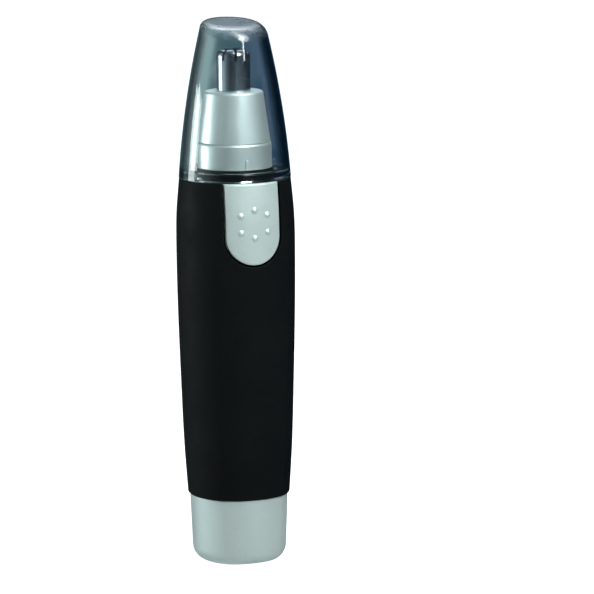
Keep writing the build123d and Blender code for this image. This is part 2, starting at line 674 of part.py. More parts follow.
# ---------------------------------------------------------------- cutter head
lip_base = CONE_TOP - CONE_LIP
with BuildPart() as head_cone:
    with BuildSketch(Plane.XZ):
        with BuildLine():
            Polyline((CONE_FOOT_BORE, CONE_SKIRT_BASE), (CONE_SKIRT_RADIUS, CONE_SKIRT_BASE),
                     (CONE_SKIRT_RADIUS, CONE_BASE), (CONE_FOOT_RADIUS, CONE_BASE),
                     (CONE_TOP_RADIUS, CONE_TOP), (CUTTER_RADIUS + GAP, CONE_TOP),
                     (CUTTER_RADIUS + GAP, lip_base), (CONE_BORE, lip_base),
                     (CONE_BORE, CONE_SEAT), (CONE_FOOT_BORE, CONE_SEAT), close=True)
        make_face()
    revolve(axis=Axis.Z)
    fillet(head_cone.edges().filter_by(GeomType.CIRCLE).filter_by(
        lambda edge: abs(edge.center().Z - CONE_TOP) < GAP and edge.radius > CONE_BORE), radius=CONE_FILLET)

retainer_rim = RETAINER_BASE + RETAINER_FLOOR
with BuildPart() as cutter_retainer:
    with BuildSketch(Plane.XY.offset(RETAINER_BASE)):
        Circle(CONE_BORE)
        Circle(BUSH_RADIUS, mode=Mode.SUBTRACT)
    extrude(amount=RETAINER_FLOOR)
    with BuildSketch(Plane.XY.offset(retainer_rim)):
        Circle(CONE_BORE)
        Circle(RETAINER_RIM_BORE, mode=Mode.SUBTRACT)
    extrude(amount=RETAINER_WALL)

with BuildPart() as cutter_bush:
    with BuildSketch(Plane.XY.offset(RETAINER_BASE)):
        Circle(BUSH_RADIUS)
        Circle(BLADE_SHAFT_RADIUS + GAP, mode=Mode.SUBTRACT)
    extrude(amount=RETAINER_FLOOR)

cutter_base = lip_base - CUTTER_FLANGE
lid_base = CUTTER_TOP - CUTTER_LID
inner_round_base = lid_base - CUTTER_INNER_ROUND
inner_round_radius = CUTTER_BORE - CUTTER_INNER_ROUND
with BuildPart() as outer_cutter:
    with BuildSketch(Plane.XY.offset(cutter_base)):
        Circle(CUTTER_FLANGE_RADIUS)
    extrude(amount=CUTTER_FLANGE)
    with BuildSketch(Plane.XY.offset(lip_base)):
        Circle(CUTTER_RADIUS)
    extrude(amount=CUTTER_TOP - lip_base)
    fillet(outer_cutter.edges().group_by(Axis.Z)[-1], radius=CUTTER_FILLET)
    with BuildSketch(Plane.XZ):
        with BuildLine():
            Polyline((inner_round_radius, lid_base), (CUTTER_MOUTH, lid_base), (CUTTER_MOUTH, CUTTER_TOP),
                     (0, CUTTER_TOP), (0, cutter_base), (CUTTER_BORE, cutter_base),
                     (CUTTER_BORE, inner_round_base))
            RadiusArc((CUTTER_BORE, inner_round_base), (inner_round_radius, lid_base),
                      -CUTTER_INNER_ROUND)
        make_face()
    revolve(axis=Axis.Z, mode=Mode.SUBTRACT)
    # slots that let the hairs in, each with a round lower end
    with PolarLocations(0, SLOT_COUNT, start_angle=SLOT_START):
        with Locations((0, 0, SLOT_BASE + SLOT_WIDTH / 2)):
            Box(SLOT_REACH, SLOT_WIDTH, SLOT_REACH, align=(Align.MIN, Align.CENTER, Align.MIN),
                mode=Mode.SUBTRACT)
            Cylinder(SLOT_WIDTH / 2, SLOT_REACH, rotation=(0, 90, 0),
                     align=(Align.CENTER, Align.CENTER, Align.MIN), mode=Mode.SUBTRACT)

# ---------------------------------------------------------------- inner cutter
with BuildPart() as blade_shaft:
    with BuildSketch(Plane.XY.offset(VANE_BASE)):
        Circle(BLADE_SHAFT_RADIUS)
    extrude(amount=BLADE_BASE + BLADE_SOCKET - VANE_BASE)
    with BuildSketch(Plane.XY.offset(VANE_BASE)):
        Rectangle(VANE_LENGTH, VANE_WIDTH)
    extrude(amount=VANE_HEIGHT)

wing_base = BLADE_BASE + BLADE_FOOT
shoulder_base = BLADE_TOP - BLADE_SHOULDER
with BuildPart() as inner_blade:
    with BuildSketch(Plane.XY.offset(BLADE_BASE)):
        Circle(BLADE_HUB_RADIUS)
    extrude(amount=BLADE_HUB_HEIGHT)
    for across in (Plane.XZ, Plane.YZ):
        with BuildSketch(across):
            with BuildLine():
                Polyline((-BLADE_RADIUS, wing_base), (BLADE_RADIUS, wing_base),
                         (BLADE_RADIUS, shoulder_base), (BLADE_TIP_RADIUS, BLADE_TOP),
                         (-BLADE_TIP_RADIUS, BLADE_TOP), (-BLADE_RADIUS, shoulder_base), close=True)
            make_face()
        extrude(amount=BLADE_THICKNESS / 2, both=True)
    with BuildSketch(Plane.XY.offset(BLADE_BASE)):
        Circle(BLADE_SHAFT_RADIUS)
    extrude(amount=BLADE_SOCKET, mode=Mode.SUBTRACT)

with BuildPart() as blade_spring:
    add(coil(BLADE_SPRING_PITCH, BLADE_SPRING_LENGTH, BLADE_SPRING_RADIUS, BLADE_SPRING_WIRE,
             (0, 0, retainer_rim + BLADE_SPRING_WIRE + GAP)))

# ---------------------------------------------------------------- clear cap
inner_top = TOTAL_HEIGHT - CAP_END_THICKNESS
inner_neck = (CAP_NECK[0] - CAP_WALL, CAP_NECK[1])
inner_foot = (CAP_FOOT_RADIUS - CAP_WALL - 0.2, CAP_SEAT_TOP + 0.7)
with BuildPart() as protective_cap:
    with BuildSketch(Plane.XZ):
        with BuildLine():
            Line((CAP_BORE, CAP_BASE), (CAP_FOOT_RADIUS, CAP_BASE))
            ThreePointArc((CAP_FOOT_RADIUS, CAP_BASE), CAP_WAIST, CAP_NECK)
            ThreePointArc(CAP_NECK, CAP_SHOULDER, CAP_END)
            ThreePointArc(CAP_END, CAP_DOME, (CAP_FLAT, TOTAL_HEIGHT))
            Line((CAP_FLAT, TOTAL_HEIGHT), (0, TOTAL_HEIGHT))
            Line((0, TOTAL_HEIGHT), (0, inner_top))
            Line((0, inner_top), (CAP_FLAT, inner_top))
            ThreePointArc((CAP_FLAT, inner_top), CAP_INNER_DOME, CAP_INNER_END)
            ThreePointArc(CAP_INNER_END, CAP_INNER_SHOULDER, inner_neck)
            ThreePointArc(inner_neck, (CAP_WAIST[0] - CAP_WALL, CAP_WAIST[1]), inner_foot)
            Line(inner_foot, (CAP_BORE, CAP_SEAT_TOP))
            Line((CAP_BORE, CAP_SEAT_TOP), (CAP_BORE, CAP_BASE))
        make_face()
    revolve(axis=Axis.Z)

# ---------------------------------------------------------------- export
pieces = {
    "battery_cover": battery_cover,
    "negative_plate": negative_plate,
    "battery_spring": battery_spring,
    "battery_can": battery_can,
    "battery_wrap": battery_wrap,
    "battery_positive_cap": battery_positive_cap,
    "front_casing": front_casing,
    "rear_casing": rear_casing,
    "neck_collar": neck_collar,
    "shaft_seal": shaft_seal,
    "chassis": chassis,
    "positive_contact": positive_contact,
    "negative_strip": negative_strip,
    "motor_can": motor_can,
    "motor_bushing": motor_bushing,
    "motor_end_cap": motor_end_cap,
    "motor_magnets": motor_magnets,
    "motor_terminals": motor_terminals,
    "motor_pad": motor_pad,
    "switch_button": switch_button,
    "switch_plunger": switch_plunger,
    "switch_spring": switch_spring,
    "switch_housing": switch_housing,
    "switch_terminals": switch_terminals,
    "lead_wires": lead_wires,
    "motor_shaft": motor_shaft,
    "motor_armature": motor_armature,
    "armature_windings": armature_windings,
    "commutator": commutator,
    "drive_coupling": drive_coupling,
    "lock_ring": lock_ring,
    "head_cone": head_cone,
    "cutter_retainer": cutter_retainer,
    "cutter_bush": cutter_bush,
    "outer_cutter": outer_cutter,
    "blade_shaft": blade_shaft,
    "inner_blade": inner_blade,
    "blade_spring": blade_spring,
    "protective_cap": protective_cap,
}
for name, piece in pieces.items():
    piece.part.label = name
    export_step(piece.part, f"parts/{name}.step")
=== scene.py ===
import json
from math import asin, atan2, cos, pi, radians, sin, sqrt, tan

import bmesh
import bpy
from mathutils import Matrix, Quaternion, Vector


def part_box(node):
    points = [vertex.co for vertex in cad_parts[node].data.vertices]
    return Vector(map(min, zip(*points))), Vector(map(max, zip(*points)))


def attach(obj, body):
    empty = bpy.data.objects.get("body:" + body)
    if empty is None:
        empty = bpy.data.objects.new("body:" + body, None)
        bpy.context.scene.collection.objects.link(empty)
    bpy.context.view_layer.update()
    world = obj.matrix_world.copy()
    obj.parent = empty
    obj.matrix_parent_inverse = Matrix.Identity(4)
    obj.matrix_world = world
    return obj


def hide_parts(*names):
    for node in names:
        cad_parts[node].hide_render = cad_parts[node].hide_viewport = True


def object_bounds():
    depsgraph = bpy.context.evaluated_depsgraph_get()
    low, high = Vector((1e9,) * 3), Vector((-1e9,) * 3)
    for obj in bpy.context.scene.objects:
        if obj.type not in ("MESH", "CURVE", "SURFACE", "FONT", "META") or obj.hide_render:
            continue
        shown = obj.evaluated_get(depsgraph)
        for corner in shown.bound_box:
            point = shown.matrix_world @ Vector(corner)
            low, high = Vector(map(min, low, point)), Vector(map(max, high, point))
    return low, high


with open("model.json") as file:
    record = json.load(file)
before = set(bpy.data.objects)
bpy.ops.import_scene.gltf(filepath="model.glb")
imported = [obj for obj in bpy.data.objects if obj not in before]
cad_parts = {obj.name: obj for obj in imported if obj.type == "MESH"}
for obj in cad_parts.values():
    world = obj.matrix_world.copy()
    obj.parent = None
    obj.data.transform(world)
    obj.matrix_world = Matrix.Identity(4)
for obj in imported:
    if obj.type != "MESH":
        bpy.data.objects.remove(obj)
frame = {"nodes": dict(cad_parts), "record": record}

# Nose hair trimmer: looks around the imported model. +Z up, front (the switch side) towards -Y.
# Outlines are worked out in millimetres and turned into metres when their mesh is made.

MM = 0.001
cad_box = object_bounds()


def span(node):
    """Lowest and highest height of a CAD node, in millimetres."""
    low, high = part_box(node)
    return low.z / MM, high.z / MM


GRIP_BASE, GRIP_TOP = span("front_casing")
COVER_BASE, SPIGOT_TOP = span("battery_cover")
RING_BASE, RING_TOP = span("lock_ring")
CUTTER_BASE, CUTTER_TOP = span("outer_cutter")
CONE_TOP = span("head_cone")[1]
CAP_BASE, CAP_TOP = span("protective_cap")
RING_GAP = 0.05             # between the lock ring and the cone
CONE_BASE = RING_TOP + RING_GAP

# ---------------------------------------------------------------- camera
VIEW_AZIMUTH = radians(-19.0)      # the switch faces 19 degrees to the right of the camera
VIEW_ELEVATION = radians(9.5)
VIEW_DISTANCE = 1.0
VIEW_LENS = 243.4
VIEW_ROLL = radians(-0.6)          # the trimmer leans a little to the left in the picture
AIM_RIGHT = 15.1 * MM              # it stands left of the picture's middle
AIM_DOWN = 1.9 * MM
SENSOR_WIDTH = 36.0
back_of_view = Vector((sin(VIEW_AZIMUTH) * cos(VIEW_ELEVATION), -cos(VIEW_AZIMUTH) * cos(VIEW_ELEVATION),
                       sin(VIEW_ELEVATION)))
right_of_view = Vector((0, 0, 1)).cross(back_of_view).normalized()
object_middle = Vector((0, 0, cad_box[1].z / 2))


def make_camera():
    data = bpy.data.cameras.new("camera")
    data.lens = VIEW_LENS
    data.sensor_width = SENSOR_WIDTH
    data.clip_start = 0.01
    data.clip_end = 20.0
    camera = bpy.data.objects.new("camera", data)
    bpy.context.scene.collection.objects.link(camera)
    bpy.context.scene.camera = camera
    camera.location = object_middle + back_of_view * VIEW_DISTANCE
    up = back_of_view.cross(right_of_view)
    forward = object_middle + right_of_view * AIM_RIGHT - up * AIM_DOWN - camera.location
    camera.rotation_mode = "QUATERNION"
    camera.rotation_quaternion = (forward.to_track_quat("-Z", "Y")
                                  @ Quaternion((0, 0, 1), VIEW_ROLL))


make_camera()


# ---------------------------------------------------------------- shape of the clear cap
CAP_COLUMNS = 128
CAP_WALL = 1.3
CAP_FOOT_RADIUS = 13.95
CAP_WAIST = (12.08, 113.5)      # radius and height half-way up
CAP_NECK = (9.15, 129.6)        # where the wall turns straight
CAP_WALL_LEAN = 0.224           # how fast the wall closes in between neck and shoulder
CAP_LEAN = tan(radians(6.0))    # the cap's end slopes down towards the front
CAP_DISC_HEIGHT = CAP_TOP - 1.0     # height of the end's middle
CAP_SHOULDER = 2.9              # rounding of the cap's shoulder, on average
CAP_SHOULDER_SWING = 1.6        # how much larger it is on the soft side and smaller on the other
CAP_SOFT_SIDE = Vector((0.44, -0.90))
CAP_BORE = 9.7                  # bore of the thick seat round the foot
CAP_SEAT_TOP = 98.3
CAP_INNER_FOOT = (12.45, 99.0)  # where the wall's inside begins, above the seat
FOOT_FADE = 0.5                 # height over which the foot's darker tint ends
FROST_DEPTH = 4.0               # the frost begins this far below the end
FROST_FULL_DEPTH = 0.1


# ---------------------------------------------------------------- material helpers
def new_material(name):
    material = bpy.data.materials.new(name)
    material.use_nodes = True
    tree = material.node_tree
    return material, tree, tree.nodes["Principled BSDF"]


def set_sockets(shader, **values):
    for name, value in values.items():
        shader.inputs[name.replace("_", " ")].default_value = value


def object_place(tree):
    return tree.nodes.new("ShaderNodeTexCoord").outputs["Object"]


def noise(tree, scale, detail=2.0, stretch=(1, 1, 1)):
    """Noise in object space; scale is in waves per metre."""
    mapping = tree.nodes.new("ShaderNodeMapping")
    mapping.inputs["Scale"].default_value = stretch
    texture = tree.nodes.new("ShaderNodeTexNoise")
    texture.inputs["Scale"].default_value = scale
    texture.inputs["Detail"].default_value = detail
    tree.links.new(object_place(tree), mapping.inputs["Vector"])
    tree.links.new(mapping.outputs["Vector"], texture.inputs["Vector"])
    return texture.outputs["Fac"]


def ramp(tree, factor, *stops):
    """Colour ramp through (position, colour) stops; a colour may be one grey level."""
    node = tree.nodes.new("ShaderNodeValToRGB")
    elements = node.color_ramp.elements
    while len(elements) < len(stops):
        elements.new(0.5)
    for element, (position, colour) in zip(elements, stops):
        element.position = position
        if isinstance(colour, (int, float)):
            colour = (colour, colour, colour)
        element.color = (*colour, 1.0)
    tree.links.new(factor, node.inputs["Fac"])
    return node.outputs["Color"]


def bump(tree, shader, layers):
    """Stacks bump layers of (height socket, strength, depth in metres) on the shader."""
    normal = None
    for socket, strength, depth in layers:
        node = tree.nodes.new("ShaderNodeBump")
        node.inputs["Strength"].default_value = strength
        node.inputs["Distance"].default_value = depth
        tree.links.new(socket, node.inputs["Height"])
        if normal:
            tree.links.new(normal, node.inputs["Normal"])
        normal = node.outputs["Normal"]
    tree.links.new(normal, shader.inputs["Normal"])


# ---------------------------------------------------------------- materials
def satin_black():
    """Fine-textured black of the grip, with faint handling wear in its sheen."""
    material, tree, shader = new_material("satin_black")
    set_sockets(shader, Metallic=0.0, IOR=1.5, Specular_IOR_Level=0.07)
    tree.links.new(ramp(tree, noise(tree, 60, 4), (0.3, (0.0022, 0.0030, 0.0034)),
                        (0.75, (0.0034, 0.0044, 0.0048))), shader.inputs["Base Color"])
    tree.links.new(ramp(tree, noise(tree, 140, 5), (0.3, 0.52), (0.7, 0.62)),
                   shader.inputs["Roughness"])
    bump(tree, shader, ((noise(tree, 6500, 2), 0.10, 0.00004), (noise(tree, 320, 2), 0.05, 0.0001)))
    return material


def silver_lacquer(name, metallic, dark, light, roughness):
    """Silver paint: a pale grey-green with fine metal flake under a satin coat."""
    material, tree, shader = new_material(name)
    set_sockets(shader, Metallic=metallic, IOR=1.5, Coat_Weight=0.12, Coat_Roughness=0.25)
    tree.links.new(ramp(tree, noise(tree, 9000, 1), (0.35, dark), (0.65, light)),
                   shader.inputs["Base Color"])
    tree.links.new(ramp(tree, noise(tree, 220, 4), (0.3, roughness - 0.04), (0.7, roughness + 0.04)),
                   shader.inputs["Roughness"])
    bump(tree, shader, ((noise(tree, 8000, 1), 0.08, 0.00003), (noise(tree, 500, 2), 0.04, 0.00008)))
    return material


def height_between(tree, height, low, high):
    """How far a height is between two levels given in millimetres, from 0 to 1."""
    part = tree.nodes.new("ShaderNodeMapRange")
    part.inputs["From Min"].default_value = low * MM
    part.inputs["From Max"].default_value = high * MM
    tree.links.new(height, part.inputs["Value"])
    return part.outputs["Result"]


def multiply(tree, first, second):
    """Product of two colours."""
    node = tree.nodes.new("ShaderNodeMix")
    node.data_type = "RGBA"
    node.blend_type = "MULTIPLY"
    node.inputs["Factor"].default_value = 1.0
    tree.links.new(first, node.inputs["A"])
    tree.links.new(second, node.inputs["B"])
    return node.outputs["Result"]


def clear_plastic():
    """Clear moulded cap with a blue-grey tint, a frosted end and slight flow lines along its length."""
    material, tree, shader = new_material("clear_plastic")
    set_sockets(shader, Metallic=0.0, IOR=1.5, Transmission_Weight=1.0)
    # a long way through the wall looks darker, and so does the thick foot
    facing = tree.nodes.new("ShaderNodeLayerWeight").outputs["Facing"]
    body = ramp(tree, noise(tree, 90, 2), (0.3, (0.93, 0.955, 0.96)), (0.7, (0.96, 0.975, 0.98)))
    edges = ramp(tree, facing, (0.42, (1, 1, 1)), (0.52, (0.45, 0.54, 0.57)), (0.72, (0.10, 0.15, 0.19)),
                 (0.95, (0.03, 0.05, 0.07)))
    low = tree.nodes.new("ShaderNodeSeparateXYZ")
    tree.links.new(object_place(tree), low.inputs["Vector"])
    foot = ramp(tree, height_between(tree, low.outputs["Z"], CAP_SEAT_TOP, CAP_SEAT_TOP + FOOT_FADE),
                (0.0, (0.50, 0.58, 0.60)), (1.0, (1, 1, 1)))
    tree.links.new(multiply(tree, multiply(tree, body, edges), foot), shader.inputs["Base Color"])
    # the frost's lower border slopes with the end, so height is taken from a plane of the same slope
    slope = tree.nodes.new("ShaderNodeVectorMath")
    slope.operation = "DOT_PRODUCT"
    slope.inputs[1].default_value = (0, -CAP_LEAN, 1)
    tree.links.new(object_place(tree), slope.inputs[0])
    frost = tree.nodes.new("ShaderNodeMix")
    tree.links.new(height_between(tree, slope.outputs["Value"], CAP_DISC_HEIGHT - FROST_DEPTH,
                                  CAP_DISC_HEIGHT - FROST_FULL_DEPTH), frost.inputs["Factor"])
    tree.links.new(ramp(tree, noise(tree, 300, 3), (0.3, 0.02), (0.8, 0.05)), frost.inputs["A"])
    tree.links.new(ramp(tree, noise(tree, 260, 3), (0.35, 0.26), (0.65, 0.40)), frost.inputs["B"])
    tree.links.new(frost.outputs["Result"], shader.inputs["Roughness"])
    bump(tree, shader, ((noise(tree, 160, 2, (1, 1, 0.15)), 0.015, 0.0002),))
    return material


def metal(name, colour, roughness, stretch=(1, 1, 1), grain=2500):
    """Bare metal with a fine grain that may run one way."""
    material, tree, shader = new_material(name)
    set_sockets(shader, Metallic=1.0)
    dark = tuple(0.86 * c for c in colour)
    tree.links.new(ramp(tree, noise(tree, grain, 3, stretch), (0.3, dark), (0.7, colour)),
                   shader.inputs["Base Color"])
    tree.links.new(ramp(tree, noise(tree, grain * 0.4, 3, stretch), (0.3, roughness * 0.8),
                        (0.7, roughness * 1.25)), shader.inputs["Roughness"])
    bump(tree, shader, ((noise(tree, grain, 2, stretch), 0.06, 0.00003),))
    return material


def plastic(name, colour, roughness, mottle=0.12):
    """Moulded plastic or rubber with slight mottling."""
    material, tree, shader = new_material(name)
    set_sockets(shader, Metallic=0.0, IOR=1.48)
    dark = tuple((1 - mottle) * c for c in colour)
    tree.links.new(ramp(tree, noise(tree, 400, 4), (0.3, dark), (0.7, colour)),
                   shader.inputs["Base Color"])
    tree.links.new(ramp(tree, noise(tree, 250, 3), (0.3, roughness * 0.85), (0.7, roughness * 1.1)),
                   shader.inputs["Roughness"])
    bump(tree, shader, ((noise(tree, 3000, 2), 0.08, 0.00005),))
    return material


LABEL_BLUE = (0.02, 0.05, 0.11)
LABEL_BAND = 0.78           # share of the label's height where the band begins


def cell_label():
    """Shrunk label of the cell: dark blue with a copper-coloured band at the positive end."""
    material, tree, shader = new_material("cell_label")
    split = tree.nodes.new("ShaderNodeSeparateXYZ")
    tree.links.new(object_place(tree), split.inputs["Vector"])
    rise = height_between(tree, split.outputs["Z"], *span("battery_wrap"))
    tree.links.new(ramp(tree, rise, (0.0, LABEL_BLUE), (LABEL_BAND, LABEL_BLUE),
                        (LABEL_BAND + 0.005, (0.55, 0.30, 0.14)), (1.0, (0.60, 0.34, 0.17))),
                   shader.inputs["Base Color"])
    tree.links.new(ramp(tree, noise(tree, 260, 3), (0.3, 0.24), (0.7, 0.34)), shader.inputs["Roughness"])
    bump(tree, shader, ((noise(tree, 350, 3), 0.05, 0.0001),))
    return material


TURNED = (1, 1, 12)         # grain that runs round a turned piece
MATERIALS = {
    "silver_shell": silver_lacquer("silver_lacquer", 0.6, (0.50, 0.59, 0.575), (0.58, 0.67, 0.655), 0.48),
    "black_shell": satin_black(),
    "clear_cap": clear_plastic(),
    # the tube's colour is darker and bluer than bare steel: partly the steel's own colour, partly a painted
    # reflection of dark blue surroundings
    "cutter_steel": metal("steel_with_painted_reflection", (0.48, 0.54, 0.62), 0.16, TURNED),
    "spring_wire": metal("spring_wire", (0.50, 0.51, 0.53), 0.30),
    "contact_metal": metal("nickel_plate", (0.70, 0.67, 0.60), 0.25),
    "nylon": plastic("natural_nylon", (0.80, 0.79, 0.74), 0.45),
    "motor_steel": metal("zinc_plate", (0.56, 0.57, 0.58), 0.32),
    "core_iron": metal("core_laminations", (0.24, 0.24, 0.25), 0.45, TURNED),
    "magnet": plastic("ferrite", (0.05, 0.05, 0.055), 0.60),
    "copper": metal("enamelled_copper", (0.70, 0.33, 0.16), 0.28),
    "bronze": metal("sintered_bronze", (0.62, 0.46, 0.24), 0.42),
    "seal_rubber": plastic("seal_rubber", (0.02, 0.02, 0.02), 0.70),
    "cell_body": metal("cell_can", (0.60, 0.60, 0.61), 0.30),
    "cell_wrap": cell_label(),
    "switch_plastic": plastic("switch_plastic", (0.03, 0.03, 0.033), 0.40),
    "wire_sleeve": plastic("wire_sleeve", (0.50, 0.03, 0.02), 0.35),
}
head_silver = silver_lacquer("head_silver", 0.82, (0.46, 0.53, 0.53), (0.54, 0.61, 0.61), 0.44)
for entry in frame["record"]["subparts"]:
    node = frame["nodes"][entry["node"]]
    node.data.materials.clear()
    node.data.materials.append(MATERIALS[entry["material_slot"]])


# ---------------------------------------------------------------- mesh helpers
class Surface:
    """Points and faces of one piece, gathered in millimetres."""

    def __init__(self):
        self.points = []
        self.faces = []

    def point(self, place):
        self.points.append(Vector(place) * MM)
        return len(self.points) - 1

    def strip(self, first, second, closed=False):
        """Quads between two rows of point numbers."""
        count = len(first) if closed else len(first) - 1
        for i in range(count):
            j = (i + 1) % len(first)
            quad = (first[i], first[j], second[j], second[i])
            if len(set(quad)) > 2:
                self.faces.append(tuple(dict.fromkeys(quad)))

    def band(self, rows, closed_rows=True, closed_profile=False):
        for first, second in zip(rows, rows[1:]):
            self.strip(first, second, closed_rows)
        if closed_profile:
            self.strip(rows[-1], rows[0], closed_rows)

    def fan(self, row, middle):
        for i in range(len(row)):
            self.faces.append((row[i], row[(i + 1) % len(row)], middle))

    def make(self, name, slot, body, *nodes, sharp=50, material=None):
        """The finished piece: it rides on a body, takes its material from a slot unless one is given, and
        may replace CAD nodes.
        """
        mesh = bpy.data.meshes.new(name)
        mesh.from_pydata(self.points, [], self.faces)
        tool = bmesh.new()
        tool.from_mesh(mesh)
        bmesh.ops.remove_doubles(tool, verts=tool.verts, dist=1e-7)
        bmesh.ops.recalc_face_normals(tool, faces=tool.faces)
        tool.to_mesh(mesh)
        tool.free()
        mesh.shade_smooth()
        mesh.set_sharp_from_angle(angle=radians(sharp))
        mesh.materials.append(material or MATERIALS[slot])
        piece = bpy.data.objects.new(name, mesh)
        bpy.context.scene.collection.objects.link(piece)
        weighted = piece.modifiers.new("flat_faces_stay_flat", "WEIGHTED_NORMAL")
        weighted.keep_sharp = True
        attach(piece, body)
        if nodes:
            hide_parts(*nodes)
        return piece


def rounded(corners, steps=4):
    """Closed profile through (radius, height, fillet) corners, with each fillet as an arc."""
    points = []
    for i, (across, up, fillet) in enumerate(corners):
        here = Vector((across, up))
        if not fillet:
            points.append(here)
            continue
        before = (Vector(corners[i - 1][:2]) - here).normalized()
        after = (Vector(corners[(i + 1) % len(corners)][:2]) - here).normalized()
        half = before.angle(after) / 2
        centre = here + (before + after).normalized() * fillet / sin(half)
        start = here + before * fillet / tan(half) - centre
        end = here + after * fillet / tan(half) - centre
        turn = start.angle(end)
        for step in range(steps + 1):
            t = step / steps
            points.append(centre + (start * sin((1 - t) * turn) + end * sin(t * turn)) / sin(turn))
    return points


def lathe(profile, count=96):
    """Surface of revolution of a closed profile round the Z axis."""
    surface = Surface()
    rows = []
    for across, up in profile:
        rows.append([surface.point((across * cos(2 * pi * i / count), across * sin(2 * pi * i / count), up))
                     for i in range(count)])
    surface.band(rows, closed_profile=True)
    return surface


# ---------------------------------------------------------------- grip section
# Stations: height, half width across the faces, angle of the soft edges from the front, crown.
GRIP_STATIONS = ((GRIP_BASE, 12.66, 38.6, 0.962), (30.0, 13.47, 39.2, 0.962), (46.0, 14.02, 39.8, 0.962),
                 (62.0, 14.46, 41.0, 0.962), (76.0, 14.66, 41.0, 0.965), (87.0, 14.60, 36.5, 0.975),
                 (GRIP_TOP, 13.84, 33.0, 0.988))
COVER_STATIONS = ((COVER_BASE, 11.45, 38.0, 0.962), (8.0, 11.82, 38.2, 0.962),
                  (GRIP_BASE - 0.1, 12.16, 38.6, 0.962))
EDGE_FILLET = 6.0           # strength of the rounding where two faces meet
WALL = 1.6                  # of the grip's shells
EDGE_COLUMNS = 14           # columns from the middle of a face to a soft edge
EDGE_CROWDING = 1.7         # columns get closer together towards the soft edges


def between(stations, height):
    """Half width, edge angle and crown at a height, on a smooth curve through the stations."""
    last = len(stations) - 2
    i = 0
    while i < last and height > stations[i + 1][0]:
        i += 1
    low, high = stations[i], stations[i + 1]
    reach = high[0] - low[0]
    t = (height - low[0]) / reach
    values = []
    for k in (1, 2, 3):
        rise = (high[k] - low[k]) / reach
        before = rise if i == 0 else (high[k] - stations[i - 1][k]) / (high[0] - stations[i - 1][0])
        after = rise if i == last else (stations[i + 2][k] - low[k]) / (stations[i + 2][0] - low[0])
        values.append(low[k] * (1 + 2 * t) * (1 - t) ** 2 + high[k] * t * t * (3 - 2 * t)
                      + before * reach * t * (1 - t) ** 2 - after * reach * t * t * (1 - t))
    return values


def face_arc(face, along, across):
    """Radius of the arc from a face's middle to its edge, and the arc's turn at that edge."""
    radius = ((face - along) ** 2 + across ** 2) / (2 * (face - along))
    return radius, asin(across / radius)


def section_radius(stations, angle, height, inset=0.0):
    """Distance from the axis to the grip's surface, at an angle from the front."""
    face, edge_angle, crown = between(stations, height)
    edge_angle = radians(edge_angle)
    edge = face / crown
    from_front = atan2(abs(sin(angle)), abs(cos(angle)))
    front, front_turn = face_arc(face, edge * cos(edge_angle), edge * sin(edge_angle))
    side, side_turn = face_arc(face, edge * sin(edge_angle), edge * cos(edge_angle))
    reaches = []
    for radius, off in ((front, from_front), (side, pi / 2 - from_front)):
        centre = face - radius
        reaches.append(centre * cos(off) + sqrt(radius ** 2 - (centre * sin(off)) ** 2))
    soft = EDGE_FILLET * (pi / 2 - front_turn - side_turn) ** 2 / 2
    blend = max(soft - abs(reaches[0] - reaches[1]), 0.0) / soft
    return min(reaches) - blend ** 2 * soft / 4 - inset


def section_point(stations, angle, height, inset=0.0):
    radius = section_radius(stations, angle, height, inset)
    return (radius * sin(angle), -radius * cos(angle), height)


def front_point(across, height, inset=0.0):
    """Point of the grip's front at a place across and up."""
    angle = 0.0
    for _ in range(8):
        angle = asin(across / section_radius(GRIP_STATIONS, angle, height, inset))
    return section_point(GRIP_STATIONS, angle, height, inset)


def half_angles(stations, height):
    """Angles of the columns from the middle of the front to the middle of a side."""
    edge = radians(between(stations, height)[1])
    angles = [edge * (1 - (1 - i / EDGE_COLUMNS) ** EDGE_CROWDING) for i in range(EDGE_COLUMNS + 1)]
    angles += [edge + (pi / 2 - edge) * (i / EDGE_COLUMNS) ** EDGE_CROWDING
               for i in range(1, EDGE_COLUMNS + 1)]
    return angles


def ring_angles(stations, height):
    """Angles of the columns all the way round."""
    quarter = half_angles(stations, height)
    half = quarter + [pi - angle for angle in reversed(quarter[:-1])]
    return half + [2 * pi - angle for angle in reversed(half[1:-1])]


def edge_rows(base, top, base_round, top_round, pitch, steps=4):
    """(height, inset) rows up a wall whose two rims are rounded."""
    rows = [(base + base_round * (1 - cos(t * pi / 2 / steps)), base_round * (1 - sin(t * pi / 2 / steps)))
            for t in range(steps + 1)]
    first = base + base_round
    last = top - top_round
    count = max(2, round((last - first) / pitch))
    rows += [(first + (last - first) * i / count, 0.0) for i in range(1, count)]
    rows += [(top - top_round * (1 - sin(t * pi / 2 / steps)), top_round * (1 - cos(t * pi / 2 / steps)))
             for t in range(steps + 1)]
    return rows


# ---------------------------------------------------------------- switch window and plate
PLATE_HALF_WIDTH = 6.9
PLATE_ARC_HEIGHT = 83.3
PLATE_GROOVE = 0.55
WINDOW_HALF_WIDTH = PLATE_HALF_WIDTH + PLATE_GROOVE
WINDOW_MARGIN = 1.6         # from the window's round end down to where the plain rows end
RIM_ROUND = 0.15
FOOT_ROUND = 0.4            # rounding of the grip's lower rim
ROW_PITCH = 1.5
SEAM_GAP = 0.02             # from the seam's middle to each shell
SEAM_BORDER = 0.5           # first column beside the seam


def window_point(across, height):
    """Nearest place on the window's outline to a place outside it."""
    if height >= PLATE_ARC_HEIGHT:
        return (WINDOW_HALF_WIDTH if across > 0 else -WINDOW_HALF_WIDTH), height
    away = Vector((across, height - PLATE_ARC_HEIGHT)).normalized() * WINDOW_HALF_WIDTH
    return away.x, PLATE_ARC_HEIGHT + away.y


